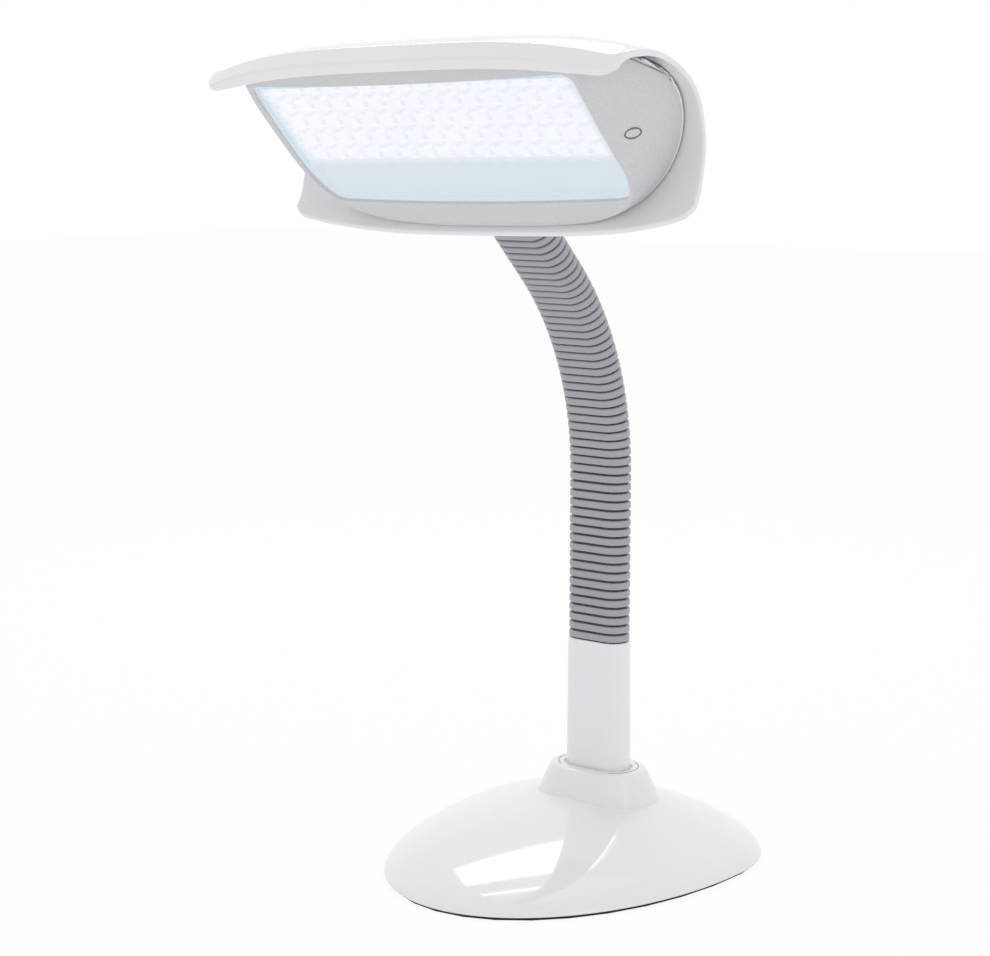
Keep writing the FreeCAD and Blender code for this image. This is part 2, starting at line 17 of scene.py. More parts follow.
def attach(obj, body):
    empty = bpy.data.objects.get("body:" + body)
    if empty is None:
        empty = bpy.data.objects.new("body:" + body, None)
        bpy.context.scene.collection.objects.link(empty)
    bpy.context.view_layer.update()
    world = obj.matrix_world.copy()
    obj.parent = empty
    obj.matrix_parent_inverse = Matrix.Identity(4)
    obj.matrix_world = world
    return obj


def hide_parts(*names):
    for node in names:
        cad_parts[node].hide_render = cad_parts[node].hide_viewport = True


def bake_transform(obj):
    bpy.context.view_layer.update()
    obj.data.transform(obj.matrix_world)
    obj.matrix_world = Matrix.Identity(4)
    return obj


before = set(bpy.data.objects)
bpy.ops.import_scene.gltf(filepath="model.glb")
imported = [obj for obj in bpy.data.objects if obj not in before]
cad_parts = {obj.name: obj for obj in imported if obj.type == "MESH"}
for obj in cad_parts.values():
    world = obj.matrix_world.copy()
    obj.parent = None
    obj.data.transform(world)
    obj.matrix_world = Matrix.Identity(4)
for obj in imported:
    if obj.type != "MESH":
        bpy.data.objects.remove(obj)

log = logging.getLogger("lamp")

MM = 0.001
PER_METRE = 1000.0
MERGE_DISTANCE = 0.000002
Colour = tuple[float, float, float]
Ring = list[Vector]


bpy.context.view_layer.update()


# Shader building blocks


class Signal:
    """A shader socket that can be used in Python expressions."""

    def __init__(self, nodes: "Shader", socket: bpy.types.NodeSocket) -> None:
        """Wraps a socket."""
        self.nodes = nodes
        self.socket = socket

    def _math(self, operation: str, *values: Any) -> "Signal":
        """A Math node on some values."""
        return self.nodes.node("ShaderNodeMath", {"operation": operation}, dict(enumerate(values)))

    def __add__(self, other: Any) -> "Signal":
        """Sum."""
        return self._math("ADD", self, other)

    def __radd__(self, other: Any) -> "Signal":
        """Reflected sum."""
        return self._math("ADD", other, self)

    def __sub__(self, other: Any) -> "Signal":
        """Difference."""
        return self._math("SUBTRACT", self, other)

    def __rsub__(self, other: Any) -> "Signal":
        """Reflected difference."""
        return self._math("SUBTRACT", other, self)

    def __mul__(self, other: Any) -> "Signal":
        """Product."""
        return self._math("MULTIPLY", self, other)

    def __rmul__(self, other: Any) -> "Signal":
        """Reflected product."""
        return self._math("MULTIPLY", other, self)

    def __truediv__(self, other: Any) -> "Signal":
        """Quotient."""
        return self._math("DIVIDE", self, other)

    def __pow__(self, other: Any) -> "Signal":
        """Power."""
        return self._math("POWER", self, other)

    def part(self) -> "Signal":
        """The part after the point."""
        return self._math("FRACT", self)

    def size(self) -> "Signal":
        """The value without its sign."""
        return self._math("ABSOLUTE", self)

    def clip(self) -> "Signal":
        """The value held between nothing and one."""
        return self._math("MINIMUM", self._math("MAXIMUM", self, 0.0), 1.0)


def fill(
    tree: bpy.types.NodeTree, kind: str, settings: dict[str, Any], inputs: dict[Any, Any]
) -> bpy.types.Node:
    """Adds one node to a tree.

    Args:
        tree: The tree.
        kind: The node's type.
        settings: Its properties.
        inputs: Values or sockets by name or number.

    Returns:
        The node.
    """
    made = tree.nodes.new(kind)
    for key, value in settings.items():
        setattr(made, key, value)
    for key, value in inputs.items():
        if isinstance(value, bpy.types.NodeSocket):
            tree.links.new(value, made.inputs[key])
        else:
            made.inputs[key].default_value = value
    return made


def show(name: str, data: bpy.types.ID) -> bpy.types.Object:
    """Puts a mesh, a light or a camera in the scene, at the origin."""
    made = bpy.data.objects.new(name, data)
    bpy.context.scene.collection.objects.link(made)
    return made


class Shader:
    """Builds one material's node tree."""

    def __init__(self, name: str) -> None:
        """Starts a material with an empty tree.

        Args:
            name: The material's name.
        """
        self.material = bpy.data.materials.new(name)
        self.material.use_nodes = True
        self.tree = self.material.node_tree
        self.tree.nodes.clear()
        self.place = self.node("ShaderNodeTexCoord", {}, {}, "Object")

    def node(
        self, kind: str, settings: dict[str, Any], inputs: dict[Any, Any], output: Any = 0
    ) -> Signal:
        """Adds one node.

        Args:
            kind: The node's type.
            settings: Its properties.
            inputs: Values or signals by socket name or number.
            output: The output socket's name or number.

        Returns:
            The chosen output.
        """
        sockets = {
            key: value.socket if isinstance(value, Signal) else value
            for key, value in inputs.items()
        }
        return Signal(self, fill(self.tree, kind, settings, sockets).outputs[output])

    def noise(self, scale: float, detail: float = 2.0) -> Signal:
        """Noise over the object's place."""
        values = {"Vector": self.place, "Scale": scale, "Detail": detail}
        return self.node("ShaderNodeTexNoise", {}, values, "Fac")

    def grains(self, scale: float) -> Signal:
        """Small random cells over the object's place."""
        values = {"Vector": self.place, "Scale": scale}
        return self.node("ShaderNodeTexVoronoi", {}, values, "Distance")

    def ramp(self, value: Signal, stops: Sequence[tuple[float, Colour]]) -> Signal:
        """Turns a value into a colour.

        Args:
            value: The value.
            stops: Positions and colours.

        Returns:
            The colour.
        """
        made = fill(self.tree, "ShaderNodeValToRGB", {}, {"Fac": value.socket})
        elements = made.color_ramp.elements
        while len(elements) > 1:
            elements.remove(elements[-1])
        elements[0].position = stops[0][0]
        elements[0].color = (*stops[0][1], 1.0)
        for position, colour in stops[1:]:
            elements.new(position).color = (*colour, 1.0)
        return Signal(self, made.outputs["Color"])

    def bump(self, height: Signal, distance: float, strength: float) -> Signal:
        """A bump from a height."""
        values = {"Height": height, "Distance": distance, "Strength": strength}
        return self.node("ShaderNodeBump", {}, values, "Normal")

    def principled(self, inputs: dict[str, Any]) -> bpy.types.Material:
        """Ends the tree in a Principled shader."""
        surface = self.node("ShaderNodeBsdfPrincipled", {}, inputs, "BSDF")
        return self.end(surface)

    def end(self, surface: Signal) -> bpy.types.Material:
        """Links a surface to the output.

        Args:
            surface: The shader.

        Returns:
            The material.
        """
        end = self.tree.nodes.new("ShaderNodeOutputMaterial")
        self.tree.links.new(surface.socket, end.inputs["Surface"])
        return self.material


def shade(colour: Colour, factor: float) -> Colour:
    """A colour made darker or lighter."""
    return tuple(min(1.0, part * factor) for part in colour)


@dataclass(frozen=True)
class Moulded:
    """Injection-moulded plastic with slight tone changes and a faint orange-peel surface."""

    name: str
    colour: Colour
    roughness: float
    spread: float = 0.05
    tone: float = 0.03
    peel: float = 0.00002
    peel_scale: float = 420.0
    coat: float = 0.0

    def build(self) -> bpy.types.Material:
        """The material."""
        shader = Shader(self.name)
        cloud = shader.noise(9.0, 3.0)
        fine = shader.noise(self.peel_scale, 2.0)
        low, high = shade(self.colour, 1.0 - self.tone), shade(self.colour, 1.0 + self.tone)
        colour = shader.ramp(cloud, [(0.3, low), (0.7, high)])
        return shader.principled(
            {
                "Base Color": colour,
                "Roughness": self.roughness + self.spread * (shader.noise(60.0) - 0.5),
                "Normal": shader.bump(fine, self.peel, 1.0),
                "Coat Weight": self.coat,
                "Coat Roughness": 0.03,
                "IOR": 1.5,
            }
        )


@dataclass(frozen=True)
class Frosted:
    """Silver-grey frosted plastic with a fine granular speckle."""

    name: str
    colour: Colour
    grain_scale: float = 2600.0
    grain_contrast: float = 0.10
    roughness: float = 0.45

    def build(self) -> bpy.types.Material:
        """The material."""
        shader = Shader(self.name)
        grain = shader.noise(self.grain_scale, 3.0)
        cells = shader.grains(self.grain_scale * 0.8)
        mixed = grain * 0.6 + cells * 0.5
        low = shade(self.colour, 1.0 - self.grain_contrast)
        high = shade(self.colour, 1.0 + self.grain_contrast)
        return shader.principled(
            {
                "Base Color": shader.ramp(mixed, [(0.38, low), (0.72, high)]),
                "Roughness": self.roughness + 0.2 * (cells - 0.5),
                "Normal": shader.bump(mixed, 0.00004, 0.5),
            }
        )


@dataclass(frozen=True)
class Metal:
    """Bare or plated metal with a brushed direction."""

    name: str
    colour: Colour
    roughness: float
    stretch: tuple[float, float, float] = (30.0, 900.0, 900.0)
    metallic: float = 1.0

    def build(self) -> bpy.types.Material:
        """The material."""
        shader = Shader(self.name)
        stretched = {"Vector": shader.place, "Scale": self.stretch}
        along = shader.node("ShaderNodeMapping", {}, stretched, "Vector")
        brushed = {"Vector": along, "Scale": 1.0, "Detail": 3.0}
        lines = shader.node("ShaderNodeTexNoise", {}, brushed, "Fac")
        low, high = shade(self.colour, 0.88), shade(self.colour, 1.08)
        return shader.principled(
            {
                "Base Color": shader.ramp(lines, [(0.3, low), (0.7, high)]),
                "Metallic": self.metallic,
                "Roughness": self.roughness + 0.2 * (lines - 0.5),
                "Normal": shader.bump(lines, 0.00003, 0.5),
            }
        )


@dataclass(frozen=True)
class ClearPane:
    """Clear plastic with a faint blue tint and a light haze."""

    name: str
    tint: Colour
    edge: Colour
    share: float = 0.05
    haze_share: float = 0.05

    def build(self) -> bpy.types.Material:
        """The material."""
        shader = Shader(self.name)
        haze = shader.noise(14.0, 2.0)
        tint = {"Color": (*self.tint, 1.0)}
        clear = shader.node("ShaderNodeBsdfTransparent", {}, tint, "BSDF")
        gloss = shader.node(
            "ShaderNodeBsdfPrincipled",
            {},
            {
                "Base Color": (*self.edge, 1.0),
                "Roughness": 0.05 + 0.04 * haze,
                "Normal": shader.bump(shader.noise(90.0), 0.00003, 0.4),
            },
            "BSDF",
        )
        mixed = {0: self.share + self.haze_share * haze, 1: clear, 2: gloss}
        return shader.end(shader.node("ShaderNodeMixShader", {}, mixed, "Shader"))


@dataclass(frozen=True)
class PaintedGlow:
    """Plastic with a painted glow that stands in for the LEDs' light falling on it, slightly
    uneven.
    """

    name: str
    colour: Colour
    glow: float
    roughness: float = 0.25

    def build(self) -> bpy.types.Material:
        """The material."""
        shader = Shader(self.name)
        cloud = shader.noise(160.0, 2.0)
        tone = shader.ramp(cloud, [(0.3, shade(self.colour, 0.9)), (0.7, self.colour)])
        return shader.principled(
            {
                "Base Color": tone,
                "Roughness": self.roughness + 0.1 * (cloud - 0.5),
                "Emission Color": tone,
                "Emission Strength": self.glow,
            }
        )


@dataclass(frozen=True)
class LitSheet:
    """The lit sheet behind the window: bright curved prisms that fade to pale blue round them. The
    bright spot on each prism is a painted glint, the darker curved bands on it are painted shade,
    and the pale blue round the grid is painted shade and reflection.

    Lengths are in millimetres on the sheet, and each darker band is a reach, a width and a depth as
    shares of one prism.
    """

    name: str
    bright: Colour
    painted_shade_colour: Colour
    edge: Colour
    glow: float
    pitch: float = 12.5
    half_length: float = 101.0
    front: float = -33.0
    rear: float = 25.0
    soft: float = 7.0
    lean: float = 44.3
    turn: float = 1.5
    origin: tuple[float, float, float] = (0.0, -0.154765, 0.430271)
    painted_shade_arcs: tuple[tuple[float, float, float], ...] = ((0.70, 0.17, 1.0), (1.12, 0.10, 0.6))
    painted_glint: tuple[float, float] = (0.5, 0.35)
    painted_glint_narrow: tuple[float, float] = (9.0, 160.0)
    plain_tone: float = 0.42
    painted_shade_tone: float = 0.26
    painted_glint_tone: float = 0.45

    def build(self) -> bpy.types.Material:
        """The material."""
        shader = Shader(self.name)
        shift = {0: shader.place, 1: self.origin}
        flat = shader.node("ShaderNodeVectorMath", {"operation": "SUBTRACT"}, shift, "Vector")
        for axis, degrees in (("X_AXIS", self.lean), ("Y_AXIS", self.turn)):
            turned = {"Vector": flat, "Angle": math.radians(degrees)}
            flat = shader.node("ShaderNodeVectorRotate", {"rotation_type": axis}, turned, "Vector")
        x, y = (
            shader.node("ShaderNodeSeparateXYZ", {}, {"Vector": flat}, axis) * PER_METRE
            for axis in "XY"
        )
        u, v = ((value / self.pitch + 100.5).part() for value in (x, y))
        reach = (u * u + v * v) ** 0.5
        # Painted shade: darker curved bands on each prism stand in for the shade of its curved
        # facets.
        lit: Signal | float = 1.0
        for middle, width, depth in self.painted_shade_arcs:
            lit = lit - (1.0 - (reach - middle).size() / width).clip() * depth
        # Painted glint: a small bright spot added to the colour of each prism.
        off_u, off_v = u - self.painted_glint[0], v - self.painted_glint[1]
        narrow_u, narrow_v = self.painted_glint_narrow
        painted_glint = (1.0 - (off_u * off_u * narrow_u + off_v * off_v * narrow_v)).clip()
        # Painted shade and reflection: towards the grid's edges the colour fades to the pale blue
        # edge colour.
        inside = ((self.half_length - x.size()) / self.soft + 0.5).clip()
        inside = inside * ((self.rear - y) / self.soft + 0.5).clip()
        inside = inside * ((y - self.front) / self.soft + 0.9).clip()
        inside = inside * (0.9 + 0.2 * shader.noise(70.0))
        tone = (self.plain_tone + self.painted_shade_tone * lit + self.painted_glint_tone * painted_glint) * inside
        stops = [(0.0, self.edge), (0.42, self.painted_shade_colour), (0.72, self.bright), (1.0, (1.0, 1.0, 1.0))]
        return shader.principled(
            {
                "Base Color": (0.22, 0.22, 0.23, 1.0),
                "Roughness": 0.3 + 0.1 * (shader.noise(160.0) - 0.5),
                "Emission Color": shader.ramp(tone, stops),
                "Emission Strength": self.glow,
            }
        )


class Finish(Enum):
    """Every finish on the lamp."""

    SHELL = Moulded("shell white gloss", (0.85, 0.85, 0.865), 0.09, tone=0.012, coat=0.3)
    SLEEVE = Moulded(
        "sleeve grey", (0.39, 0.40, 0.425), 0.42, tone=0.05, peel=0.00004, peel_scale=700.0
    )
    # Painted shade: the web between the sleeve's ribs is the same grey plastic, drawn near black to
    # stand in for the shade in the grooves.
    GROOVE_SHADE = Moulded(
        "sleeve groove painted shade", (0.075, 0.078, 0.09), 0.5, tone=0.06, peel=0.00004, peel_scale=700.0
    )
    FRAME = Frosted("frame frosted silver", (0.665, 0.665, 0.67))
    PANE = ClearPane("window clear", (0.985, 0.992, 1.0), (0.62, 0.76, 0.84))
    # Light sheet colours: glowing white on the prisms, painted shade on the darker bands, and a
    # pale blue edge that is painted shade and reflection.
    CHIP = LitSheet(
        "light sheet with painted glints and shade", (1.0, 0.975, 0.98), (0.84, 0.835, 0.865), (0.66, 0.72, 0.75), 0.81
    )
    # Painted glow: the reflector tray and the LED board are no lamps, but they give off a pale blue
    # light that stands in for the LEDs' light falling on them.
    TRAY = PaintedGlow("reflector painted glow", (0.56, 0.66, 0.72), 0.45, 0.35)
    BOARD = Moulded("board green", (0.03, 0.12, 0.06), 0.45, tone=0.15)
    STEEL = Metal("link steel", (0.55, 0.55, 0.57), 0.32)
    SCREW = Metal("screw zinc", (0.50, 0.50, 0.52), 0.38, (400.0, 400.0, 60.0))
    ALUMINIUM = Metal("sink aluminium", (0.72, 0.73, 0.75), 0.35)
    IRON = Metal("ballast iron", (0.05, 0.05, 0.055), 0.65, (120.0, 120.0, 120.0), 0.5)
    RUBBER = Moulded(
        "pad rubber", (0.012, 0.012, 0.013), 0.75, tone=0.2, peel=0.00008, peel_scale=900.0
    )
    BLACK = Moulded("inlet black", (0.02, 0.02, 0.022), 0.4, tone=0.15)
    # Touch pad grey; on the collar's grooves the same grey is painted shade.
    TOUCH_AND_GROOVE_SHADE = Moulded("touch pad grey and groove shade", (0.22, 0.22, 0.24), 0.3, tone=0.1)
    RING = Moulded("touch ring dark", (0.17, 0.17, 0.175), 0.35, tone=0.1)


_materials: dict[Finish, bpy.types.Material] = {}


def material(finish: Finish) -> bpy.types.Material:
    """The one material of a finish.

    Args:
        finish: The finish.

    Returns:
        Its material, built once.
    """
    if finish not in _materials:
        _materials[finish] = finish.value.build()
    return _materials[finish]


NODES_OF_FINISH = {
    Finish.RUBBER: ("foot_pad",),
    Finish.STEEL: ("base_plate", "stem_flange", "neck_anchor", "head_anchor", "head_bracket"),
    Finish.SCREW: ("base_screws", "flange_screws", "bracket_screws"),
    Finish.IRON: ("base_ballast",),
    Finish.SHELL: ("base_shell", "stem_collar", "stem_tube", "hood_shell", "neck_socket"),
    Finish.BOARD: ("power_board", "driver_board"),
    Finish.BLACK: ("board_spacers", "power_inlet"),
    Finish.FRAME: ("pod_bezel",),
    Finish.PANE: ("window_pane",),
    Finish.TOUCH_AND_GROOVE_SHADE: ("touch_pad",),
    # The reflector tray and the LED board carry the painted glow.
    Finish.TRAY: ("led_board", "reflector_tray"),
    Finish.CHIP: ("led_chips",),
    Finish.ALUMINIUM: ("heat_sink",),
}


def dress_nodes() -> None:
    """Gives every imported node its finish."""
    finishes = {name: finish for finish, names in NODES_OF_FINISH.items() for name in names}
    repeated = {"neck_sleeve": Finish.SLEEVE, "neck_link": Finish.STEEL}
    for name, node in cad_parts.items():
        finish = finishes.get(name) or repeated[name.rsplit("_", 1)[0]]
        node.data.materials.clear()
        node.data.materials.append(material(finish))


# Mesh building blocks


def piece(
    name: str, points: Sequence[Vector], faces: Sequence[Sequence[int]], finish: Finish
) -> bpy.types.Object:
    """A smooth mesh piece in metres from points in millimetres.

    Args:
        name: The piece's name.
        points: Its points.
        faces: Its faces.
        finish: Its finish.

    Returns:
        The object, at the origin.
    """
    mesh = bpy.data.meshes.new(name)
    mesh.from_pydata([tuple(point * MM) for point in points], [], [tuple(face) for face in faces])
    work = bmesh.new()
    work.from_mesh(mesh)
    bmesh.ops.remove_doubles(work, verts=work.verts, dist=MERGE_DISTANCE)
    bmesh.ops.recalc_face_normals(work, faces=work.faces)
    work.to_mesh(mesh)
    work.free()
    mesh.materials.append(material(finish))
    made = show(name, mesh)
    mesh.shade_smooth()
    return made


def sharpen(made: bpy.types.Object, degrees: float) -> None:
    """Marks edges sharper than an angle, so that flat faces stay flat."""
    made.data.set_sharp_from_angle(angle=math.radians(degrees))


def loft(
    name: str, rings: Sequence[Ring], finish: Finish, cap_start: bool = True, cap_end: bool = True
) -> bpy.types.Object:
    """A closed skin through rings of equal point count.

    Args:
        name: The piece's name.
        rings: The rings.
        finish: The finish.
        cap_start: Whether the first ring is closed.
        cap_end: Whether the last ring is closed.

    Returns:
        The piece.
    """
    count = len(rings[0])
    points = [point for ring in rings for point in ring]
    faces: list[list[int]] = []
    for level in range(len(rings) - 1):
        base = level * count
        for step in range(count):
            after = (step + 1) % count
            faces.append([base + step, base + after, base + count + after, base + count + step])
    if cap_start:
        faces.append(list(range(count))[::-1])
    if cap_end:
        faces.append([(len(rings) - 1) * count + step for step in range(count)])
    return piece(name, points, faces, finish)


def stadium_ring(
    flat: float, radius: float, place: Callable[[float, float], Vector], steps: int = 14
) -> Ring:
    """A stadium outline, placed by a function of its two coordinates.

    Args:
        flat: The length of its straight sides.
        radius: The radius of its ends.
        place: Turns the two coordinates into a point.
        steps: Segments in each round end.

    Returns:
        The ring.
    """
    ring: Ring = []
    for side, start in ((0.5, -90.0), (-0.5, 90.0)):
        for step in range(steps + 1):
            angle = math.radians(start + 180.0 * step / steps)
            ring.append(place(flat * side + radius * math.cos(angle), radius * math.sin(angle)))
    return ring


def round_profile(
    corners: Sequence[tuple[float, float, float]], steps: int = 5
) -> list[tuple[float, float]]:
    """A profile whose corners are rounded.

    Args:
        corners: Two coordinates and a rounding radius for each corner.
        steps: Segments in each rounding.

    Returns:
        The profile's points.
    """
    found: list[tuple[float, float]] = []
    for number, (x, y, radius) in enumerate(corners):
        here = Vector((x, y))
        if number in (0, len(corners) - 1) or radius <= 0.0:
            found.append((x, y))
            continue
        before = Vector(corners[number - 1][:2]) - here
        after = Vector(corners[number + 1][:2]) - here
        reach = min(radius, before.length * 0.49, after.length * 0.49)
        first = here + before.normalized() * reach
        last = here + after.normalized() * reach
        for step in range(steps + 1):
            share = step / steps
            spot = first * (1 - share) ** 2 + here * 2 * share * (1 - share) + last * share ** 2
            found.append((spot.x, spot.y))
    return found


def super_arc(share: float, power: float) -> float:
    """Height of a superellipse of unit size."""
    return (1.0 - share ** power) ** (1.0 / power)


def super_turn(value: float, power: float) -> float:
    """A sine or cosine, changed to run round a superellipse."""
    return math.copysign(abs(value) ** (2.0 / power), value)


def running_length(points: Sequence[Vector]) -> list[float]:
    """The length of a line of points up to each of them.

    Args:
        points: The points.

    Returns:
        The lengths, from nothing.
    """
    run = [0.0]
    for before, after in zip(points, points[1:]):
        run.append(run[-1] + (after - before).length)
    return run


def join_into(made: bpy.types.Object, extra: bpy.types.Object) -> None:
    """Moves one piece's mesh into another and removes the emptied piece.

    Args:
        made: The piece that grows.
        extra: The piece that goes.
    """
    joined = bmesh.new()
    joined.from_mesh(made.data)
    joined.from_mesh(extra.data)
    joined.to_mesh(made.data)
    joined.free()
    bpy.data.objects.remove(extra)


class GeometryTree:
    """A Geometry Nodes tree with named inputs, used once and then turned into a plain mesh."""

    def __init__(self, name: str) -> None:
        """Starts a tree.

        Args:
            name: The tree's name.
        """
        self.tree = bpy.data.node_groups.new(name, "GeometryNodeTree")
        for way in ("INPUT", "OUTPUT"):
            self.tree.interface.new_socket(
                "Geometry", in_out=way, socket_type="NodeSocketGeometry"
            )
        self.start = self.tree.nodes.new("NodeGroupInput")
        self.identifiers: dict[str, str] = {}
        self.values: dict[str, Any] = {}

    def size(self, name: str, value: float | int) -> bpy.types.NodeSocket:
        """Adds a named input.

        Args:
            name: Its name.
            value: Its value.

        Returns:
            The socket inside the tree.
        """
        kind = "NodeSocketInt" if isinstance(value, int) else "NodeSocketFloat"
        made = self.tree.interface.new_socket(name, in_out="INPUT", socket_type=kind)
        self.identifiers[name] = made.identifier
        self.values[name] = value
        return next(socket for socket in self.start.outputs if socket.identifier == made.identifier)

    def node(
        self, kind: str, inputs: dict[Any, Any], **settings: Any
    ) -> bpy.types.NodeSocket:
        """Adds one node and gives its first output."""
        return fill(self.tree, kind, settings, inputs).outputs[0]

    def finish(self, geometry: bpy.types.NodeSocket, finish: Finish) -> None:
        """Ends the tree in real geometry with its finish.

        Args:
            geometry: The geometry.
            finish: The finish.
        """
        real = self.node("GeometryNodeRealizeInstances", {"Geometry": geometry})
        values = {"Geometry": real, "Material": material(finish)}
        dressed = self.node("GeometryNodeSetMaterial", values)
        end = self.tree.nodes.new("NodeGroupOutput")
        self.tree.links.new(dressed, end.inputs[0])

    def make(
        self, name: str, seed_mesh: bpy.types.Mesh, place: Matrix, finish: Finish
    ) -> bpy.types.Object:
        """Runs the tree on a mesh and keeps the result as a plain piece.

        Args:
            name: The piece's name.
            seed_mesh: The mesh that the tree starts from.
            place: Where the result goes.
            finish: The finish.

        Returns:
            The piece, at the origin.
        """
        carrier = show(name + "_seed", seed_mesh)
        modifier = carrier.modifiers.new("nodes", "NODES")
        modifier.node_group = self.tree
        for key, identifier in self.identifiers.items():
            modifier[identifier] = self.values[key]
        bpy.context.view_layer.update()
        evaluated = carrier.evaluated_get(bpy.context.evaluated_depsgraph_get())
        mesh = bpy.data.meshes.new_from_object(evaluated)
        carrier.modifiers.remove(modifier)
        bpy.data.objects.remove(carrier)
        mesh.transform(place)
        mesh.materials.clear()
        mesh.materials.append(material(finish))
        made = show(name, mesh)
        mesh.shade_smooth()
        return made


# The base


@dataclass
class Base:
    """The egg-shaped dome, its collar and the stem."""

    half_width: float = 104.0
    front_reach: float = 158.5
    back_reach: float = 83.0
    height: float = 34.4
    foot: float = 2.2
    power: float = 1.6
    flat: float = 19.8
    collar_foot_radius: float = 30.0
    collar_mouth_radius: float = 20.5
    collar_top: float = 48.5
    collar_play: float = 1.3
    collar_depth: float = 1.6
    groove_offset: float = 4.6
    groove_drop: float = 0.42
    groove_width: float = 0.55
    groove_height: float = 0.5
    groove_degrees: float = 62.0
    stem_start: float = 13.7
    stem_foot: float = 16.7
    stem_top: float = 126.0
    stem_foot_radius: float = 11.5
    stem_top_radius: float = 10.6
    bore_radius: float = 8.4

    def level(self, share: float) -> float:
        """The dome's height where its plan has shrunk to a share."""
        return self.foot + (self.height - self.foot) * super_arc(share, self.power)

    def plan(self, share: float, height: float, inset: float = 0.0, steps: int = 160) -> Ring:
        """A ring of the egg-shaped plan.

        Args:
            share: The share of the full plan.
            height: The ring's height.
            inset: How far it is shrunk first.
            steps: Its points.

        Returns:
            The ring.
        """
        ring: Ring = []
        for step in range(steps):
            angle = 2.0 * math.pi * step / steps
            reach = self.back_reach if math.sin(angle) > 0.0 else self.front_reach
            x = (self.half_width - inset) * share * math.cos(angle)
            ring.append(Vector((x, (reach - inset) * share * math.sin(angle), height)))
        return ring

    def upright(
        self, name: str, profile: Sequence[tuple[float, float]], degrees: float
    ) -> bpy.types.Object:
        """A stadium-shaped skin round the stem's axis.

        Args:
            name: The piece's name.
            profile: End radii and heights.
            degrees: The angle above which edges are sharp.

        Returns:
            The piece.
        """
        rings = [
            stadium_ring(self.flat, radius, lambda x, y, z=z: Vector((x, y, z)), 24)
            for radius, z in profile
        ]
        made = loft(name, rings, Finish.SHELL)
        sharpen(made, degrees)
        return made

    def dome(self) -> bpy.types.Object:
        """The smooth dome with its rounded rim.

        Returns:
            The piece.
        """
        rim = ((0.0, 5.0), (0.0, 1.0), (0.25, 0.3))
        rings = [self.plan(1.0, self.foot + rise, inset) for rise, inset in rim]
        steps, first, least = 56, 0.6, 0.02
        for step in range(steps + 1):
            share = max(math.cos(0.5 * math.pi * (step + first) / (steps + first)), least)
            rings.append(self.plan(share, self.level(share)))
        made = loft("base_dome", rings, Finish.SHELL)
        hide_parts("base_shell")
        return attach(made, "base")

    def collar(self) -> bpy.types.Object:
        """The tapered collar with its rounded mouth.

        Returns:
            The piece.
        """
        top, floor = self.collar_top, self.collar_top - self.collar_depth
        stem = self.stem_radius(top)
        profile = round_profile(
            [
                (self.collar_foot_radius, self.level(0.45), 0.0),
                (self.collar_mouth_radius, top, 2.2),
                (stem + self.collar_play, top, 1.2),
                (stem + self.collar_play, floor, 0.3),
                (stem - 1.0, floor, 0.0),
            ]
        )
        made = self.upright("collar", profile, 40.0)
        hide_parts("stem_collar")
        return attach(made, "base")

    def collar_groove_shade(self) -> bpy.types.Object:
        """The two fine round grooves at the ends of the collar's mouth, drawn as thin dark grey
        strips that are painted shade.

        Returns:
            The piece.
        """
        points: list[Vector] = []
        faces: list[list[int]] = []
        radius = self.stem_radius(self.collar_top) + self.groove_offset
        height, steps = self.collar_top - self.groove_drop, 18
        for side in (-1.0, 1.0):
            start = len(points)
            for step in range(steps + 1):
                angle = math.radians(self.groove_degrees * (2.0 * step / steps - 1.0))
                for spread in (0.0, self.groove_width):
                    x = side * (self.flat / 2.0 + (radius + spread) * math.cos(angle))
                    y = (radius + spread) * math.sin(angle)
                    points.append(Vector((x, y, height + self.groove_height)))
                    points.append(Vector((x, y, height)))
            for step in range(steps):
                a = start + 4 * step
                for near, far in ((0, 2), (2, 3), (3, 1), (1, 0)):
                    faces.append([a + near, a + far, a + 4 + far, a + 4 + near])
            faces.append([start, start + 1, start + 3, start + 2])
            last = start + 4 * steps
            faces.append([last, last + 2, last + 3, last + 1])
        # Painted shade: the grooves are thin dark grey strips laid on the white collar.
        made = piece("collar_groove_shade", points, faces, Finish.TOUCH_AND_GROOVE_SHADE)
        sharpen(made, 40.0)
        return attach(made, "base")

    def stem_radius(self, height: float) -> float:
        """The stem's end radius at a height."""
        share = (height - self.stem_start) / (self.stem_top - self.stem_start)
        return self.stem_foot_radius + (self.stem_top_radius - self.stem_foot_radius) * share

    def stem(self) -> bpy.types.Object:
        """The flat-sided stem with its softened top edge.

        Returns:
            The piece.
        """
        foot_radius = self.stem_radius(self.stem_foot)
        profile = round_profile(
            [
                (foot_radius - 2.0, self.stem_foot, 0.0),
                (foot_radius, self.stem_foot, 0.0),
                (self.stem_top_radius, self.stem_top, 1.1),
                (self.bore_radius, self.stem_top, 0.4),
                (self.bore_radius, self.stem_top - 20.0, 0.0),
            ]
        )
        made = self.upright("stem", profile, 50.0)
        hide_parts("stem_tube")
        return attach(made, "base")

    def build(self) -> None:
        """Builds and reports the base's pieces."""
        for made in (self.dome(), self.collar(), self.collar_groove_shade(), self.stem()):
            log.info("%s made", made.name)


# The neck


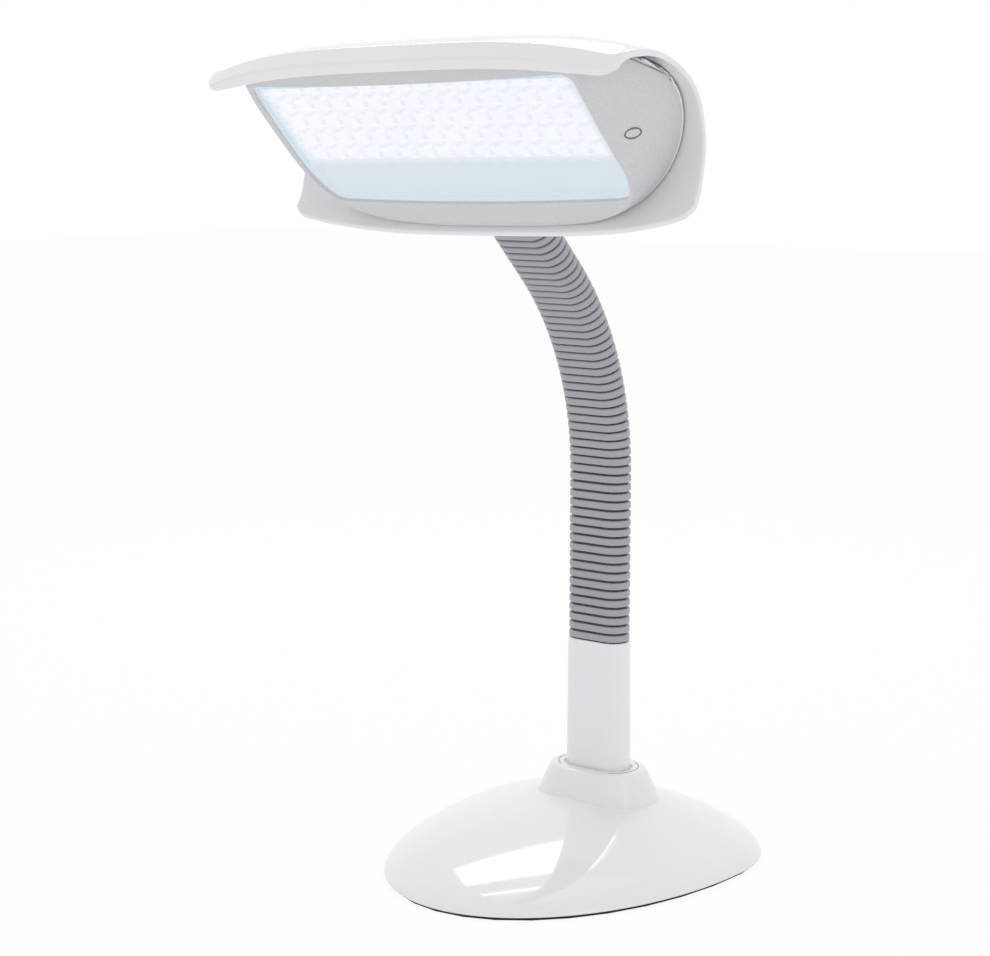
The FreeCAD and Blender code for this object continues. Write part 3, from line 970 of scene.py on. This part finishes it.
@dataclass
class Neck:
    """The bendable ribbed neck."""

    flat: float = 19.8
    pitch: float = 5.33
    radius: float = 10.0
    floor_radius: float = 7.8
    bore_radius: float = 6.0
    gap: float = 1.3
    rib_root: float = 0.8
    rib_softness: float = 0.75
    foot: float = 126.0
    straight: float = 101.7
    bend_radius: float = 169.4
    bend_degrees: float = 45.7
    end_ribs: int = 5
    link_ribs: int = 4
    links: int = 11

    @property
    def ribs(self) -> int:
        """How many ribs the neck has."""
        return 2 * self.end_ribs + self.link_ribs * self.links

    def spot(self, length: float) -> tuple[Vector, float]:
        """A place on the centre line.

        Args:
            length: Distance up the neck.

        Returns:
            The point and its lean in radians.
        """
        bend = math.radians(self.bend_degrees)
        if length <= self.straight:
            return Vector((0.0, 0.0, self.foot + length)), 0.0
        turn = min((length - self.straight) / self.bend_radius, bend)
        run = max(length - self.straight - self.bend_radius * bend, 0.0)
        y = -self.bend_radius * (1.0 - math.cos(turn)) - run * math.sin(turn)
        z = self.foot + self.straight + self.bend_radius * math.sin(turn) + run * math.cos(turn)
        return Vector((0.0, y, z)), turn

    def ring(self, length: float, radius: float, steps: int = 14) -> Ring:
        """A stadium ring square to the centre line.

        Args:
            length: Distance up the neck.
            radius: The ring's end radius.
            steps: Segments in each round end.

        Returns:
            The ring.
        """
        centre, lean = self.spot(length)
        across = Vector((0.0, math.cos(lean), math.sin(lean)))
        return stadium_ring(
            self.flat, radius, lambda x, y: centre + Vector((x, 0.0, 0.0)) + across * y, steps
        )

    def rib_tree(self) -> GeometryTree:
        """The tree that sets one rounded rib on every point it is given.

        Returns:
            The tree.
        """
        made = GeometryTree("ribs")

        def rounded(width: Any, height: Any, count: int, radius: Any) -> bpy.types.NodeSocket:
            """A rectangle with rounded corners."""
            sizes = {"Width": width, "Height": height}
            sides = made.node("GeometryNodeCurvePrimitiveQuadrilateral", sizes)
            values = {"Curve": sides, "Count": count, "Radius": radius, "Limit Radius": True}
            return made.node("GeometryNodeFilletCurve", values, mode="POLY")

        width = made.size("Rib width", (self.pitch - self.gap) * MM)
        depth = made.size("Rib depth", (self.radius - self.floor_radius + self.rib_root) * MM)
        middle = (self.radius + self.floor_radius - self.rib_root) / 2.0
        long_side = made.size("Ring length", (self.flat + 2.0 * middle) * MM)
        short_side = made.size("Ring width", 2.0 * middle * MM)
        ring_radius = made.size("Ring end radius", (middle - 0.0005) * MM)
        softness = made.size("Edge radius", self.rib_softness * MM)
        ring = rounded(long_side, short_side, 14, ring_radius)
        section = rounded(depth, width, 3, softness)
        rib = made.node("GeometryNodeCurveToMesh", {"Curve": ring, "Profile Curve": section})
        turn = made.node(
            "GeometryNodeInputNamedAttribute", {"Name": "turn"}, data_type="FLOAT_VECTOR"
        )
        values = {"Points": made.start.outputs[0], "Instance": rib, "Rotation": turn}
        made.finish(made.node("GeometryNodeInstanceOnPoints", values), Finish.SLEEVE)
        return made

    def rib_points(self, first: int, last: int) -> bpy.types.Mesh:
        """Points at the ribs' middles with their lean.

        Args:
            first: The first rib.
            last: The rib after the last one.

        Returns:
            A mesh of points.
        """
        mesh = bpy.data.meshes.new("rib_points")
        spots = [self.spot((rib + 0.5) * self.pitch) for rib in range(first, last)]
        mesh.from_pydata([tuple(centre * MM) for centre, _ in spots], [], [])
        turn = mesh.attributes.new("turn", "FLOAT_VECTOR", "POINT")
        turn.data.foreach_set("vector", [value for _, lean in spots for value in (lean, 0.0, 0.0)])
        return mesh

    def sleeve(self, number: int, first: int, last: int) -> bpy.types.Object:
        """One length of sleeve: its ribs and the web between them, the web darkened as painted
        shade.

        Args:
            number: The piece's number.
            first: Its first rib.
            last: The rib after its last one.

        Returns:
            The piece.
        """
        points = self.rib_points(first, last)
        ribs = self.rib_tree().make("sleeve_%02d" % number, points, Matrix(), Finish.SLEEVE)
        halves = range(2 * (last - first) + 1)
        lengths = [first * self.pitch + half * self.pitch / 2.0 for half in halves]
        rings = [self.ring(length, self.floor_radius) for length in lengths]
        rings += [self.ring(length, self.bore_radius) for length in reversed(lengths)]
        rings.append(rings[0])
        # The web gets the near-black painted shade of the grooves.
        web = loft("web", rings, Finish.GROOVE_SHADE, False, False)
        ribs.data.materials.append(material(Finish.GROOVE_SHADE))
        for face in web.data.polygons:
            face.material_index = 1
        join_into(ribs, web)
        ribs.data.shade_smooth()
        sharpen(ribs, 50.0)
        return ribs

    def build(self) -> None:
        """Builds the sleeve in lengths, each reaching across one joint."""
        first = 3
        edges = [first + self.link_ribs * step for step in range(self.links + 2)]
        edges = [0, *edges, self.ribs]
        for number in range(len(edges) - 1):
            made = self.sleeve(number, edges[number], edges[number + 1])
            if number < self.links + 2:
                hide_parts("neck_sleeve_%02d" % number)
            if number == 0:
                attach(made, "base")
            elif number == len(edges) - 2:
                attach(made, "head")
            else:
                start, _ = self.spot(edges[number] * self.pitch)
                end, _ = self.spot(edges[number + 1] * self.pitch)
                tuple(start * MM)
                tuple(end * MM)
                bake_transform(made)
            log.info("%s made", made.name)


# The head


@dataclass
class Head:
    """The vaulted hood and the light pod under it, drawn flat and then set on the neck."""

    neck: Neck
    half_length: float = 134.5
    head_turn: float = 1.5
    rim: float = -8.0
    crest: float = 18.0
    front_middle: float = 53.0
    front_end: float = 39.0
    rear_middle: float = 78.5
    rear_end: float = 62.0
    rise_middle: float = 59.0
    rise_end: float = 50.0
    power: float = 1.8
    fade_power: float = 3.5
    wall: float = 3.4
    lip_wall: float = 8.0
    edge: float = 1.4
    axis_height: float = 14.2
    socket_mouth: float = 80.0
    socket_depth: float = 24.0
    socket_radius: float = 13.0
    socket_bore: float = 5.6
    columns: int = 17
    rows: int = 5
    led_pitch: float = 12.5
    front_corner_radius: float = 10.0
    rear_corner_radius: float = 8.0
    corner_fade: float = 2.4
    lip_fade_power: float = 9.0
    crease: float = 14.0
    crease_end: float = 38.0
    crease_lean: float = 0.04
    crease_bow: float = 0.9
    pod_gap: float = 1.0
    pod_wall: float = 2.2
    pod_half: float = 103.5
    pod_end_gain: float = 24.0
    pod_rear: float = 70.0
    pod_rear_gain: float = 16.0
    pod_gain_power: float = 0.55
    pod_power: float = 3.8
    lens_depth: float = 8.0
    lens_centre: float = 10.0
    lens_long: float = 1800.0
    lens_short: float = 600.0
    lens_wall: float = 2.0
    window_half: float = 105.5
    window_front: float = -35.0
    window_rear: float = 54.0
    window_corner: float = 7.0
    window_rear_corner: float = 14.0
    lens_dip: float = 0.35
    sheet_depth: float = -0.5
    prism_depth: float = 0.9
    prism_radius: float = 5.6
    touch_rear: float = 15.5
    touch_height: float = 6.0
    touch_long: float = 4.7
    touch_short: float = 3.0

    def __post_init__(self) -> None:
        """Works out where the neck holds the head."""
        end, _ = self.neck.spot(self.neck.ribs * self.neck.pitch)
        turn = Matrix.Rotation(math.radians(self.neck.bend_degrees - 90.0), 4, "X")
        turn = turn @ Matrix.Rotation(math.radians(-self.head_turn), 4, "Y")
        mouth = Vector((0.0, self.socket_mouth, self.axis_height))
        self.place = Matrix.Translation(end - turn @ mouth) @ turn

    def at(self, x: float, y: float, z: float) -> Vector:
        """A point of the flat drawing, set in place."""
        return self.place @ Vector((x, y, z))

    def arch(self, x: float, turn: float, front_wall: float, wall: float) -> Vector:
        """A point of the hood's section.

        Args:
            x: Where the section is.
            turn: From -90 degrees at the front rim to 90 at the rear rim, in radians.
            front_wall: How far the front is moved in.
            wall: How far the rest is moved in.

        Returns:
            The point in the flat drawing.
        """
        front, rear, rise = self.spans(x)
        front, rear, rise = front - front_wall, rear - wall, rise - wall
        reach = super_turn(math.sin(turn), self.power)
        lift = abs(math.cos(turn)) ** (2.0 / self.power)
        span = front if reach < 0.0 else rear
        return Vector((x, self.crest + span * reach, self.rim + rise * lift))

    def spans(self, x: float) -> tuple[float, float, float]:
        """The hood's front reach, rear reach and rise at one place along it.

        Args:
            x: The place.

        Returns:
            The three lengths, the reaches measured from the crest.
        """
        fade = 1.0 - min(abs(x) / self.half_length, 1.0) ** self.fade_power
        front = self.front_end + (self.front_middle - self.front_end) * fade + self.crest
        rear = self.rear_end + (self.rear_middle - self.rear_end) * fade - self.crest
        return front, rear, self.rise_end + (self.rise_middle - self.rise_end) * fade

    def lip(self, x: float) -> float:
        """Thickness of the hood's front lip, which thins towards the ends."""
        fade = min(abs(x) / self.half_length, 1.0) ** self.lip_fade_power
        return self.lip_wall + (self.wall - self.lip_wall) * fade

    def rounded(self, point: Vector, around: float) -> Vector:
        """A point of a hood section, lifted where the hood's corners are rounded off.

        Args:
            point: The point in the flat drawing.
            around: Degrees from the front rim to the rear rim.

        Returns:
            The moved point.
        """
        radius = self.front_corner_radius if around < 90.0 else self.rear_corner_radius
        past = max(abs(point.x) - self.half_length + radius, 0.0)
        lift = radius - math.sqrt(max(radius * radius - past * past, 0.0))
        share = max(1.0 - (point.z - self.rim) / (self.corner_fade * radius), 0.0)
        return Vector((point.x, point.y, point.z + lift * share))

    def inset(
        self, x: float, around: float, front_wall: float = 0.0, wall: float = 0.0
    ) -> Vector:
        """A point of a hood section, moved in and with the hood's corners rounded off."""
        return self.rounded(self.arch(x, math.radians(around - 90.0), front_wall, wall), around)

    def skin(self, x: float, around: float) -> Vector:
        """A point of the hood's outside, with the flat band over its front lip.

        Args:
            x: Where the section is.
            around: Degrees from the front rim to the rear rim.

        Returns:
            The point in the flat drawing.
        """
        plain = self.inset(x, around)
        if around >= self.crease_end:
            return plain
        foot, fold, far = (self.inset(x, a) for a in (0.0, self.crease, self.crease_end))
        fold.y = foot.y + self.crease_lean * (fold.z - foot.z)
        low, high = (foot, fold) if around <= self.crease else (fold, far)
        share = (plain.z - low.z) / (high.z - low.z)
        bow = self.crease_bow * math.sin(math.pi * share) if around > self.crease else 0.0
        return Vector((x, low.y + (high.y - low.y) * share - bow, plain.z))

    @staticmethod
    def spaced(total: float, edge: float, steps: int, edge_steps: int = 6) -> list[float]:
        """Distances along a strip, close together near both its ends.

        Args:
            total: The strip's length.
            edge: The length of each close part.
            steps: Steps in the middle.
            edge_steps: Steps in each close part.

        Returns:
            The distances.
        """
        quarter = [0.5 * math.pi * step / edge_steps for step in range(edge_steps)]
        near = [edge * (1.0 - math.cos(angle)) for angle in quarter]
        middle = [edge + (total - 2.0 * edge) * step / steps for step in range(steps + 1)]
        return near + middle + [total - value for value in reversed(near)]

    def hood_section(self, distance: float, around: Sequence[float]) -> tuple[Ring, Ring]:
        """The hood's outside and inside at one place, with its edges rounded.

        Args:
            distance: The place, measured from the hood's end.
            around: Degrees from the front rim to the rear rim.

        Returns:
            The points outside and inside, in the row frame.
        """
        x = distance - self.half_length
        outside = [self.skin(x, a) for a in around]
        inside = [self.inset(x, a, self.lip(x), self.wall) for a in around]
        run = running_length(outside)
        end_gap = min(distance, 2.0 * self.half_length - distance)
        for number, along in enumerate(run):
            short = max(self.edge - min(end_gap, along, run[-1] - along), 0.0)
            cut = self.edge - math.sqrt(max(self.edge ** 2 - short ** 2, 0.0))
            step = (inside[number] - outside[number]).normalized() * cut
            outside[number] = outside[number] + step
            inside[number] = inside[number] - step
        return [self.place @ point for point in outside], [self.place @ point for point in inside]

    def hood(self) -> bpy.types.Object:
        """The hood as one closed wall with rounded edges.

        Returns:
            The piece.
        """
        across = self.spaced(2.0 * self.half_length, self.edge, 72)
        around = self.spaced(180.0, 2.2, 96)
        around = sorted(around + [self.crease + off for off in (-0.5, -0.15, 0.15, 0.6)])
        sections = [self.hood_section(distance, around) for distance in across]
        rows, count = len(across), len(around)
        points = [point for side in (0, 1) for section in sections for point in section[side]]
        shift = rows * count
        faces: list[list[int]] = []
        for row in range(rows - 1):
            for step in range(count - 1):
                a = row * count + step
                b = shift + a
                faces.append([a, a + 1, a + count + 1, a + count])
                faces.append([b, b + count, b + count + 1, b + 1])
            for step in (0, count - 1):
                a = row * count + step
                faces.append([a, a + count, shift + a + count, shift + a])
        for row in (0, rows - 1):
            for step in range(count - 1):
                a = row * count + step
                faces.append([a, a + 1, shift + a + 1, shift + a])
        made = piece("hood", points, faces, Finish.SHELL)
        sharpen(made, 50.0)
        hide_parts("hood_shell")
        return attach(made, "head")

    def socket(self) -> bpy.types.Object:
        """The boss that the neck plugs into, with softened edges.

        Returns:
            The piece.
        """
        bottom = self.socket_mouth - self.socket_depth
        profile = round_profile(
            [
                (self.socket_bore, bottom, 0.0),
                (self.socket_radius, bottom, 0.0),
                (self.socket_radius, self.socket_mouth, 1.6),
                (self.socket_bore, self.socket_mouth, 0.0),
            ]
        )
        rings = [
            stadium_ring(
                self.neck.flat, radius, lambda x, z, y=y: self.at(x, y, self.axis_height + z), 24
            )
            for radius, y in profile
        ]
        rings.append(rings[0])
        made = loft("neck_boss", rings, Finish.SHELL, False, False)
        sharpen(made, 40.0)
        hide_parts("neck_socket")
        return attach(made, "head")

    def growth(self, height: float) -> float:
        """How far the pod's plan has grown at a height."""
        climb = max(height + self.lens_depth, 0.0) / (self.rise_middle + self.rim + self.lens_depth)
        return climb ** self.pod_gain_power

    def lens(self, x: float, y: float) -> float:
        """Height of the pod's domed front.

        Args:
            x: Along the head.
            y: Towards the rear.

        Returns:
            The height in the flat drawing.
        """
        off = y - self.lens_centre
        low = -self.lens_depth + self.lens_short - math.sqrt(self.lens_short ** 2 - off * off)
        axis = self.lens_long - self.lens_depth
        return axis - math.sqrt((axis - low) ** 2 - x * x)

    def plan(self, turn: float, height: float) -> Vector:
        """A point of the pod's outline at a height, kept inside the hood's front lip.

        Args:
            turn: The angle round the outline, in radians.
            height: The height in the flat drawing.

        Returns:
            The point in the flat drawing.
        """
        grown = self.growth(height)
        across = super_turn(math.cos(turn), self.pod_power)
        along = super_turn(math.sin(turn), self.pod_power)
        rear = self.pod_rear + self.pod_rear_gain * grown
        reach = rear if along > 0.0 else self.front_middle + self.crest
        x, y = (self.pod_half + self.pod_end_gain * grown) * across, reach * along
        front, _, rise = self.spans(x)
        front, rise = front - self.lip_wall - self.pod_gap, rise - self.wall - self.pod_gap
        share = min(max(height - self.rim, 0.0) / rise, 1.0)
        return Vector((x, max(y, self.crest - front * super_arc(share, self.power)), height))

    def roof(self, x: float, y: float) -> float:
        """Height at which the pod would touch the hood's inside, less its gap.

        Args:
            x: Along the head.
            y: Towards the rear.

        Returns:
            The height in the flat drawing.
        """
        front, rear, rise = self.spans(x)
        reach = front - self.lip_wall if y < self.crest else rear - self.wall
        share = min(abs(y - self.crest) / (reach - self.pod_gap), 1.0)
        rise -= self.wall + self.pod_gap
        return self.rim + rise * super_arc(share, self.power)

    def front_corner(self, turn: float) -> Vector:
        """Where the pod's side meets its domed front.

        Args:
            turn: The angle round the outline, in radians.

        Returns:
            The point in the flat drawing.
        """
        spot = self.plan(turn, -self.lens_depth)
        for _ in range(6):
            spot = self.plan(turn, self.lens(spot.x, spot.y))
        return spot

    def top_height(self, turn: float) -> float:
        """How high the pod's side climbs before it would meet the hood.

        Args:
            turn: The angle round the outline, in radians.

        Returns:
            The height in the flat drawing.
        """
        low = self.front_corner(turn).z
        high = self.rim + self.rise_middle
        floor = low + 2.5
        for _ in range(24):
            middle = (low + high) / 2.0
            spot = self.plan(turn, middle)
            if self.roof(spot.x, spot.y) >= middle:
                low = middle
            else:
                high = middle
        return max(low, floor)

    def window_spot(self, towards: Vector) -> Vector:
        """The point of the window's outline between its middle and a point outside it.

        Args:
            towards: The outside point.

        Returns:
            The point, on the pod's domed front.
        """
        centre = Vector((0.0, (self.window_front + self.window_rear) / 2.0))
        half = Vector((self.window_half, (self.window_rear - self.window_front) / 2.0))
        ray = Vector((towards.x, towards.y)) - centre
        corner = self.window_corner if ray.y < 0.0 else self.window_rear_corner
        low, high = 0.0, 0.985
        for _ in range(24):
            share = (low + high) / 2.0
            over_x = abs(ray.x * share) - half.x + corner
            over_y = abs(ray.y * share) - half.y + corner
            past = math.hypot(max(over_x, 0.0), max(over_y, 0.0))
            low, high = (share, high) if past < corner else (low, share)
        spot = centre + ray * low
        return Vector((spot.x, spot.y, self.lens(spot.x, spot.y)))

    def turns(self, count: int = 288) -> list[float]:
        """Angles round the pod's outline, even along its length.

        Args:
            count: How many.

        Returns:
            The angles in radians.
        """
        steps = 2880
        fine = [2.0 * math.pi * step / steps for step in range(steps + 1)]
        run = running_length([self.front_corner(turn) for turn in fine])
        wanted = [run[-1] * step / count for step in range(count)]
        return [float(value) for value in np.interp(wanted, run, fine)]

    def bezel(self) -> bpy.types.Object:
        """The frosted frame round the window, with its end panels.

        Returns:
            The piece.
        """
        turns = self.turns()
        corners = [self.front_corner(turn) for turn in turns]
        inner = [self.window_spot(corner) for corner in corners]
        tops = [self.top_height(turn) for turn in turns]
        front = (0.0, 0.012, 0.04, 0.12, 0.3, 0.5, 0.7, 0.85, 0.94, 0.985)
        outside: list[Ring] = []
        for share in front:
            dip = self.lens_dip if share == 0.0 else 0.0
            spots = [near.lerp(far, share) for near, far in zip(inner, corners)]
            outside.append([Vector((s.x, s.y, self.lens(s.x, s.y) + dip)) for s in spots])
        steps, start, bunching, lift = 26, 0.0006, 2.2, 0.15
        for step in range(steps + 1):
            share = start + (1.0 - start) * (step / steps) ** bunching
            ring: Ring = []
            for turn, corner, top in zip(turns, corners, tops):
                low = corner.z + lift
                ring.append(self.plan(turn, low + (top - low) * share))
            outside.append(ring)
        inside: list[Ring] = []
        for number, ring in enumerate(outside):
            past = number - len(front)
            if past < 0:
                inset, rise = 0.25 * self.pod_wall * number / len(front), self.lens_wall
            else:
                inset, rise = self.pod_wall, max(0.0, self.lens_wall - 0.6 * past)
            moved: Ring = []
            for point in ring:
                inward = Vector((-point.x, self.crest - point.y, 0.0)).normalized()
                moved.append(point + inward * inset + Vector((0.0, 0.0, rise)))
            inside.append(moved)
        for point, outer in zip(inside[-1], outside[-1]):
            point.z = min(point.z, outer.z)
        rings = [[self.place @ point for point in ring] for ring in outside + inside[::-1]]
        rings.append(rings[0])
        made = loft("pod_frame", rings, Finish.FRAME, False, False)
        sharpen(made, 38.0)
        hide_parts("pod_bezel")
        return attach(made, "head")

    def tube(
        self,
        name: str,
        spots: Sequence[Vector],
        sideways: Sequence[Vector],
        upward: Sequence[Vector],
        finish: Finish,
    ) -> bpy.types.Object:
        """A thin closed tube round a loop of points.

        Args:
            name: The piece's name.
            spots: The points in the flat drawing.
            sideways: The tube's reach to the side at each point.
            upward: Its reach upwards at each point.
            finish: The finish.

        Returns:
            The piece.
        """
        rings: list[Ring] = []
        sides = 8
        for side in range(sides + 1):
            angle = 2.0 * math.pi * side / sides
            ring: Ring = []
            for spot, out, up in zip(spots, sideways, upward):
                ring.append(self.place @ (spot + out * math.cos(angle) + up * math.sin(angle)))
            rings.append(ring)
        return loft(name, rings, finish, False, False)

    def trim(self) -> bpy.types.Object:
        """The thin white line where the pod's side meets the hood.

        Returns:
            The piece.
        """
        drop, half_width, half_height = 0.9, 0.55, 0.7
        spots = [self.plan(turn, self.top_height(turn) - drop) for turn in self.turns()]
        outward = [Vector((spot.x, spot.y - self.crest, 0.0)).normalized() for spot in spots]
        out = [direction * half_width for direction in outward]
        up = [Vector((0.0, 0.0, half_height))] * len(spots)
        made = self.tube("pod_trim", spots, out, up, Finish.SHELL)
        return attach(made, "head")

    def pane_rings(
        self, profile: Sequence[tuple[float, float]], height: Callable[[float, float], float]
    ) -> list[Ring]:
        """Rings inside the window's outline.

        Args:
            profile: Each ring's share of the outline and a value for its height.
            height: Turns the pod front's height and that value into the ring's height.

        Returns:
            The rings.
        """
        edge = [self.window_spot(self.front_corner(turn)) for turn in self.turns(192)]
        middle = (self.window_front + self.window_rear) / 2.0
        rings: list[Ring] = []
        for share, value in profile:
            spots = [(point.x * share, middle + (point.y - middle) * share) for point in edge]
            rings.append([self.at(x, y, height(self.lens(x, y), value)) for x, y in spots])
        return rings

    def window(self) -> bpy.types.Object:
        """The clear domed pane with a softened edge.

        Returns:
            The piece.
        """
        shares = (0.02, 0.2, 0.4, 0.6, 0.8, 0.92)
        profile = [(share, 0.05) for share in (*shares, 0.985)] + [(0.996, 0.2), (0.998, 1.0)]
        profile.append((0.996, self.lens_wall - 0.1))
        profile += [(share, self.lens_wall) for share in reversed(shares)]
        rings = self.pane_rings(profile, lambda front, depth: front + depth)
        made = loft("window", rings, Finish.PANE)
        sharpen(made, 40.0)
        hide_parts("window_pane")
        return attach(made, "head")

    def mark(self) -> bpy.types.Object:
        """The small oval ring on the touch place of the right end panel.

        Returns:
            The piece.
        """

        def panel(y: float, z: float) -> Vector:
            """The end panel's point at a place on it."""
            grown = self.growth(z)
            share = abs(y) / (self.pod_rear + self.pod_rear_gain * grown)
            reach = self.pod_half + self.pod_end_gain * grown
            return Vector((reach * super_arc(share, self.pod_power), y, z))

        middle = panel(self.touch_rear, self.touch_height)
        along = (panel(self.touch_rear + 0.5, self.touch_height) - middle).normalized()
        up = (panel(self.touch_rear, self.touch_height + 0.5) - middle).normalized()
        out = along.cross(up).normalized()
        out = out if out.x > 0.0 else -out
        steps, half_width, half_height = 48, 0.55, 0.28
        spots: Ring = []
        for step in range(steps):
            turn = 2.0 * math.pi * step / steps
            long_way = self.touch_long * math.cos(turn)
            short_way = self.touch_short * math.sin(turn)
            y = self.touch_rear + 0.46 * long_way - short_way
            spots.append(panel(y, self.touch_height + 0.88 * long_way))
        radial = [(spot - middle).normalized() * half_width for spot in spots]
        made = self.tube("touch_mark", spots, radial, [out * half_height] * steps, Finish.RING)
        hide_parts("touch_pad")
        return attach(made, "head")

    def light_tree(self) -> GeometryTree:
        """The tree that sets a low curved prism on every place of a grid.

        Returns:
            The tree.
        """
        made = GeometryTree("lights")
        pitch = self.led_pitch * MM
        length = made.size("Grid length", pitch * (self.columns - 1))
        width = made.size("Grid width", pitch * (self.rows - 1))
        columns = made.size("Columns", self.columns)
        rows = made.size("Rows", self.rows)
        prism = made.size("Prism radius", self.prism_radius * MM)
        depth = made.size("Prism depth", self.prism_depth * MM)
        places = {"Size X": length, "Size Y": width, "Vertices X": columns, "Vertices Y": rows}
        grid = made.node("GeometryNodeMeshGrid", places)
        sizes = {"Vertices": 24, "Radius Top": prism, "Radius Bottom": 0.0008, "Depth": depth}
        cone = made.node("GeometryNodeMeshCone", sizes)
        spread = made.node("GeometryNodeInstanceOnPoints", {"Points": grid, "Instance": cone})
        made.finish(spread, Finish.CHIP)
        return made

    def lights(self) -> bpy.types.Object:
        """The lit sheet with its grid of prisms.

        Returns:
            The piece.
        """
        place = Matrix.Scale(MM, 4) @ self.place @ Matrix.Scale(1.0 / MM, 4)
        place = place @ Matrix.Translation((0.0, 0.0, -1.15 * MM))
        seed_mesh = bpy.data.meshes.new("seed")
        made = self.light_tree().make("lights", seed_mesh, place, Finish.CHIP)
        profile = ((0.02, 1.0), (0.999, 1.0), (0.999, 0.0), (1.006, 0.0), (1.006, 1.1), (0.02, 1.1))

        def sheet_height(front: float, back: float) -> float:
            """The height between the pane's back and the flat sheet's."""
            near = front + self.lens_wall + 0.05
            return near + (self.sheet_depth - near) * back

        join_into(made, loft("sheet", self.pane_rings(profile, sheet_height), Finish.CHIP))
        sharpen(made, 20.0)
        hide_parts("led_chips")
        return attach(made, "head")

    def build(self) -> None:
        """Builds and reports the head's pieces."""
        makers = (
            self.hood, self.socket, self.bezel, self.trim, self.window, self.mark, self.lights
        )
        for make in makers:
            log.info("%s made", make().name)


# The studio


@dataclass
class Studio:
    """The camera, the floor, the white surround and the lamps."""

    place: tuple[float, float, float] = (0.7363, -1.0521, 0.4277)
    azimuth: float = 37.78
    pitch: float = 9.05
    lens: float = 79.56
    sensor: float = 36.0
    light_colour: Colour = (0.985, 0.985, 1.0)
    light: float = 0.84
    floor_colour: Colour = (0.98, 0.98, 0.985)
    floor_shown: float = 0.92
    floor_reach: float = 6.0
    rays: tuple[str, str, str] = ("Is Camera Ray", "Is Glossy Ray", "Is Transmission Ray")

    def camera(self) -> None:
        """Sets the camera where the photograph was taken."""
        data = bpy.data.cameras.new("camera")
        data.lens = self.lens
        data.sensor_width = self.sensor
        data.sensor_fit = "HORIZONTAL"
        data.clip_start, data.clip_end = 0.05, 50.0
        made = show("camera", data)
        made.location = self.place
        made.rotation_euler = (math.radians(90.0 - self.pitch), 0.0, math.radians(self.azimuth))
        bpy.context.scene.camera = made

    def surround(self) -> None:
        """The world: white to the camera, in reflections and through glass, softer as light."""
        world = bpy.data.worlds.new("surround")
        world.use_nodes = True
        tree = world.node_tree
        tree.nodes.clear()
        seen = tree.nodes.new("ShaderNodeLightPath")
        mask = seen.outputs[self.rays[0]]
        for ray in self.rays[1:]:
            either = tree.nodes.new("ShaderNodeMath")
            either.operation = "MAXIMUM"
            tree.links.new(mask, either.inputs[0])
            tree.links.new(seen.outputs[ray], either.inputs[1])
            mask = either.outputs[0]
        shown = tree.nodes.new("ShaderNodeBackground")
        shown.inputs["Color"].default_value = (1.0, 1.0, 1.0, 1.0)
        light = tree.nodes.new("ShaderNodeBackground")
        light.inputs["Color"].default_value = (*self.light_colour, 1.0)
        light.inputs["Strength"].default_value = self.light
        mix = tree.nodes.new("ShaderNodeMixShader")
        end = tree.nodes.new("ShaderNodeOutputWorld")
        tree.links.new(mask, mix.inputs[0])
        tree.links.new(light.outputs[0], mix.inputs[1])
        tree.links.new(shown.outputs[0], mix.inputs[2])
        tree.links.new(mix.outputs[0], end.inputs["Surface"])
        bpy.context.scene.world = world

    def floor(self) -> None:
        """A pale floor that looks white to the camera and keeps the lamp's shadow."""
        shader = Shader("floor")
        camera, glossy, through = (
            shader.node("ShaderNodeLightPath", {}, {}, ray) for ray in self.rays
        )
        seen = (camera + glossy + through).clip()
        colour = {"Color": (*self.floor_colour, 1.0)}
        plain = shader.node("ShaderNodeBsdfDiffuse", {}, colour, "BSDF")
        white = shader.node("ShaderNodeEmission", {}, {"Color": (1.0, 1.0, 1.0, 1.0)}, "Emission")
        mixed = {0: seen * self.floor_shown, 1: plain, 2: white}
        shader.end(shader.node("ShaderNodeMixShader", {}, mixed, "Shader"))
        mesh = bpy.data.meshes.new("floor")
        corners = [(-1, -1), (1, -1), (1, 1), (-1, 1)]
        points = [(x * self.floor_reach, y * self.floor_reach, 0.0) for x, y in corners]
        mesh.from_pydata(points, [], [(0, 1, 2, 3)])
        mesh.materials.append(shader.material)
        made = show("floor", mesh)

    def softbox(
        self, name: str, place: Vector, aim: Vector, size: tuple[float, float], power: float
    ) -> None:
        """A soft rectangular lamp.

        Args:
            name: Its name.
            place: Where it stands.
            aim: What it faces.
            size: Its width and height in metres.
            power: Its power in watts.
        """
        data = bpy.data.lights.new(name, "AREA")
        data.shape = "RECTANGLE"
        data.size, data.size_y = size
        data.energy = power
        made = show(name, data)
        made.location = place
        made.rotation_euler = (aim - place).to_track_quat("-Z", "Y").to_euler()

    def build(self) -> None:
        """Builds the studio."""
        self.camera()
        self.surround()
        self.floor()
        middle = Vector((0.0, -0.06, 0.25))
        dome = Vector((0.02, -0.11, 0.02))
        self.softbox("key", Vector((-0.66, 0.71, 1.2)), dome, (0.72, 0.40), 3.0)
        self.softbox("streak", Vector((-0.45, 0.34, 1.44)), dome, (0.42, 0.07), 0.4)
        self.softbox("top", Vector((-0.2, 0.7, 2.0)), middle, (1.2, 0.8), 0.9)
        self.softbox("side", Vector((1.9, -0.5, 0.9)), middle, (0.5, 1.5), 1.3)
        bpy.context.scene.view_settings.view_transform = "Standard"
        log.info("studio made")


def main() -> None:
    """Builds the studio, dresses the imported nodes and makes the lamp's own pieces."""
    logging.basicConfig(level=logging.INFO, format="%(name)s: %(message)s")
    Studio().build()
    dress_nodes()
    Base().build()
    neck = Neck()
    neck.build()
    Head(neck).build()
    bpy.context.view_layer.update()


if __name__ == "__main__":
    main()
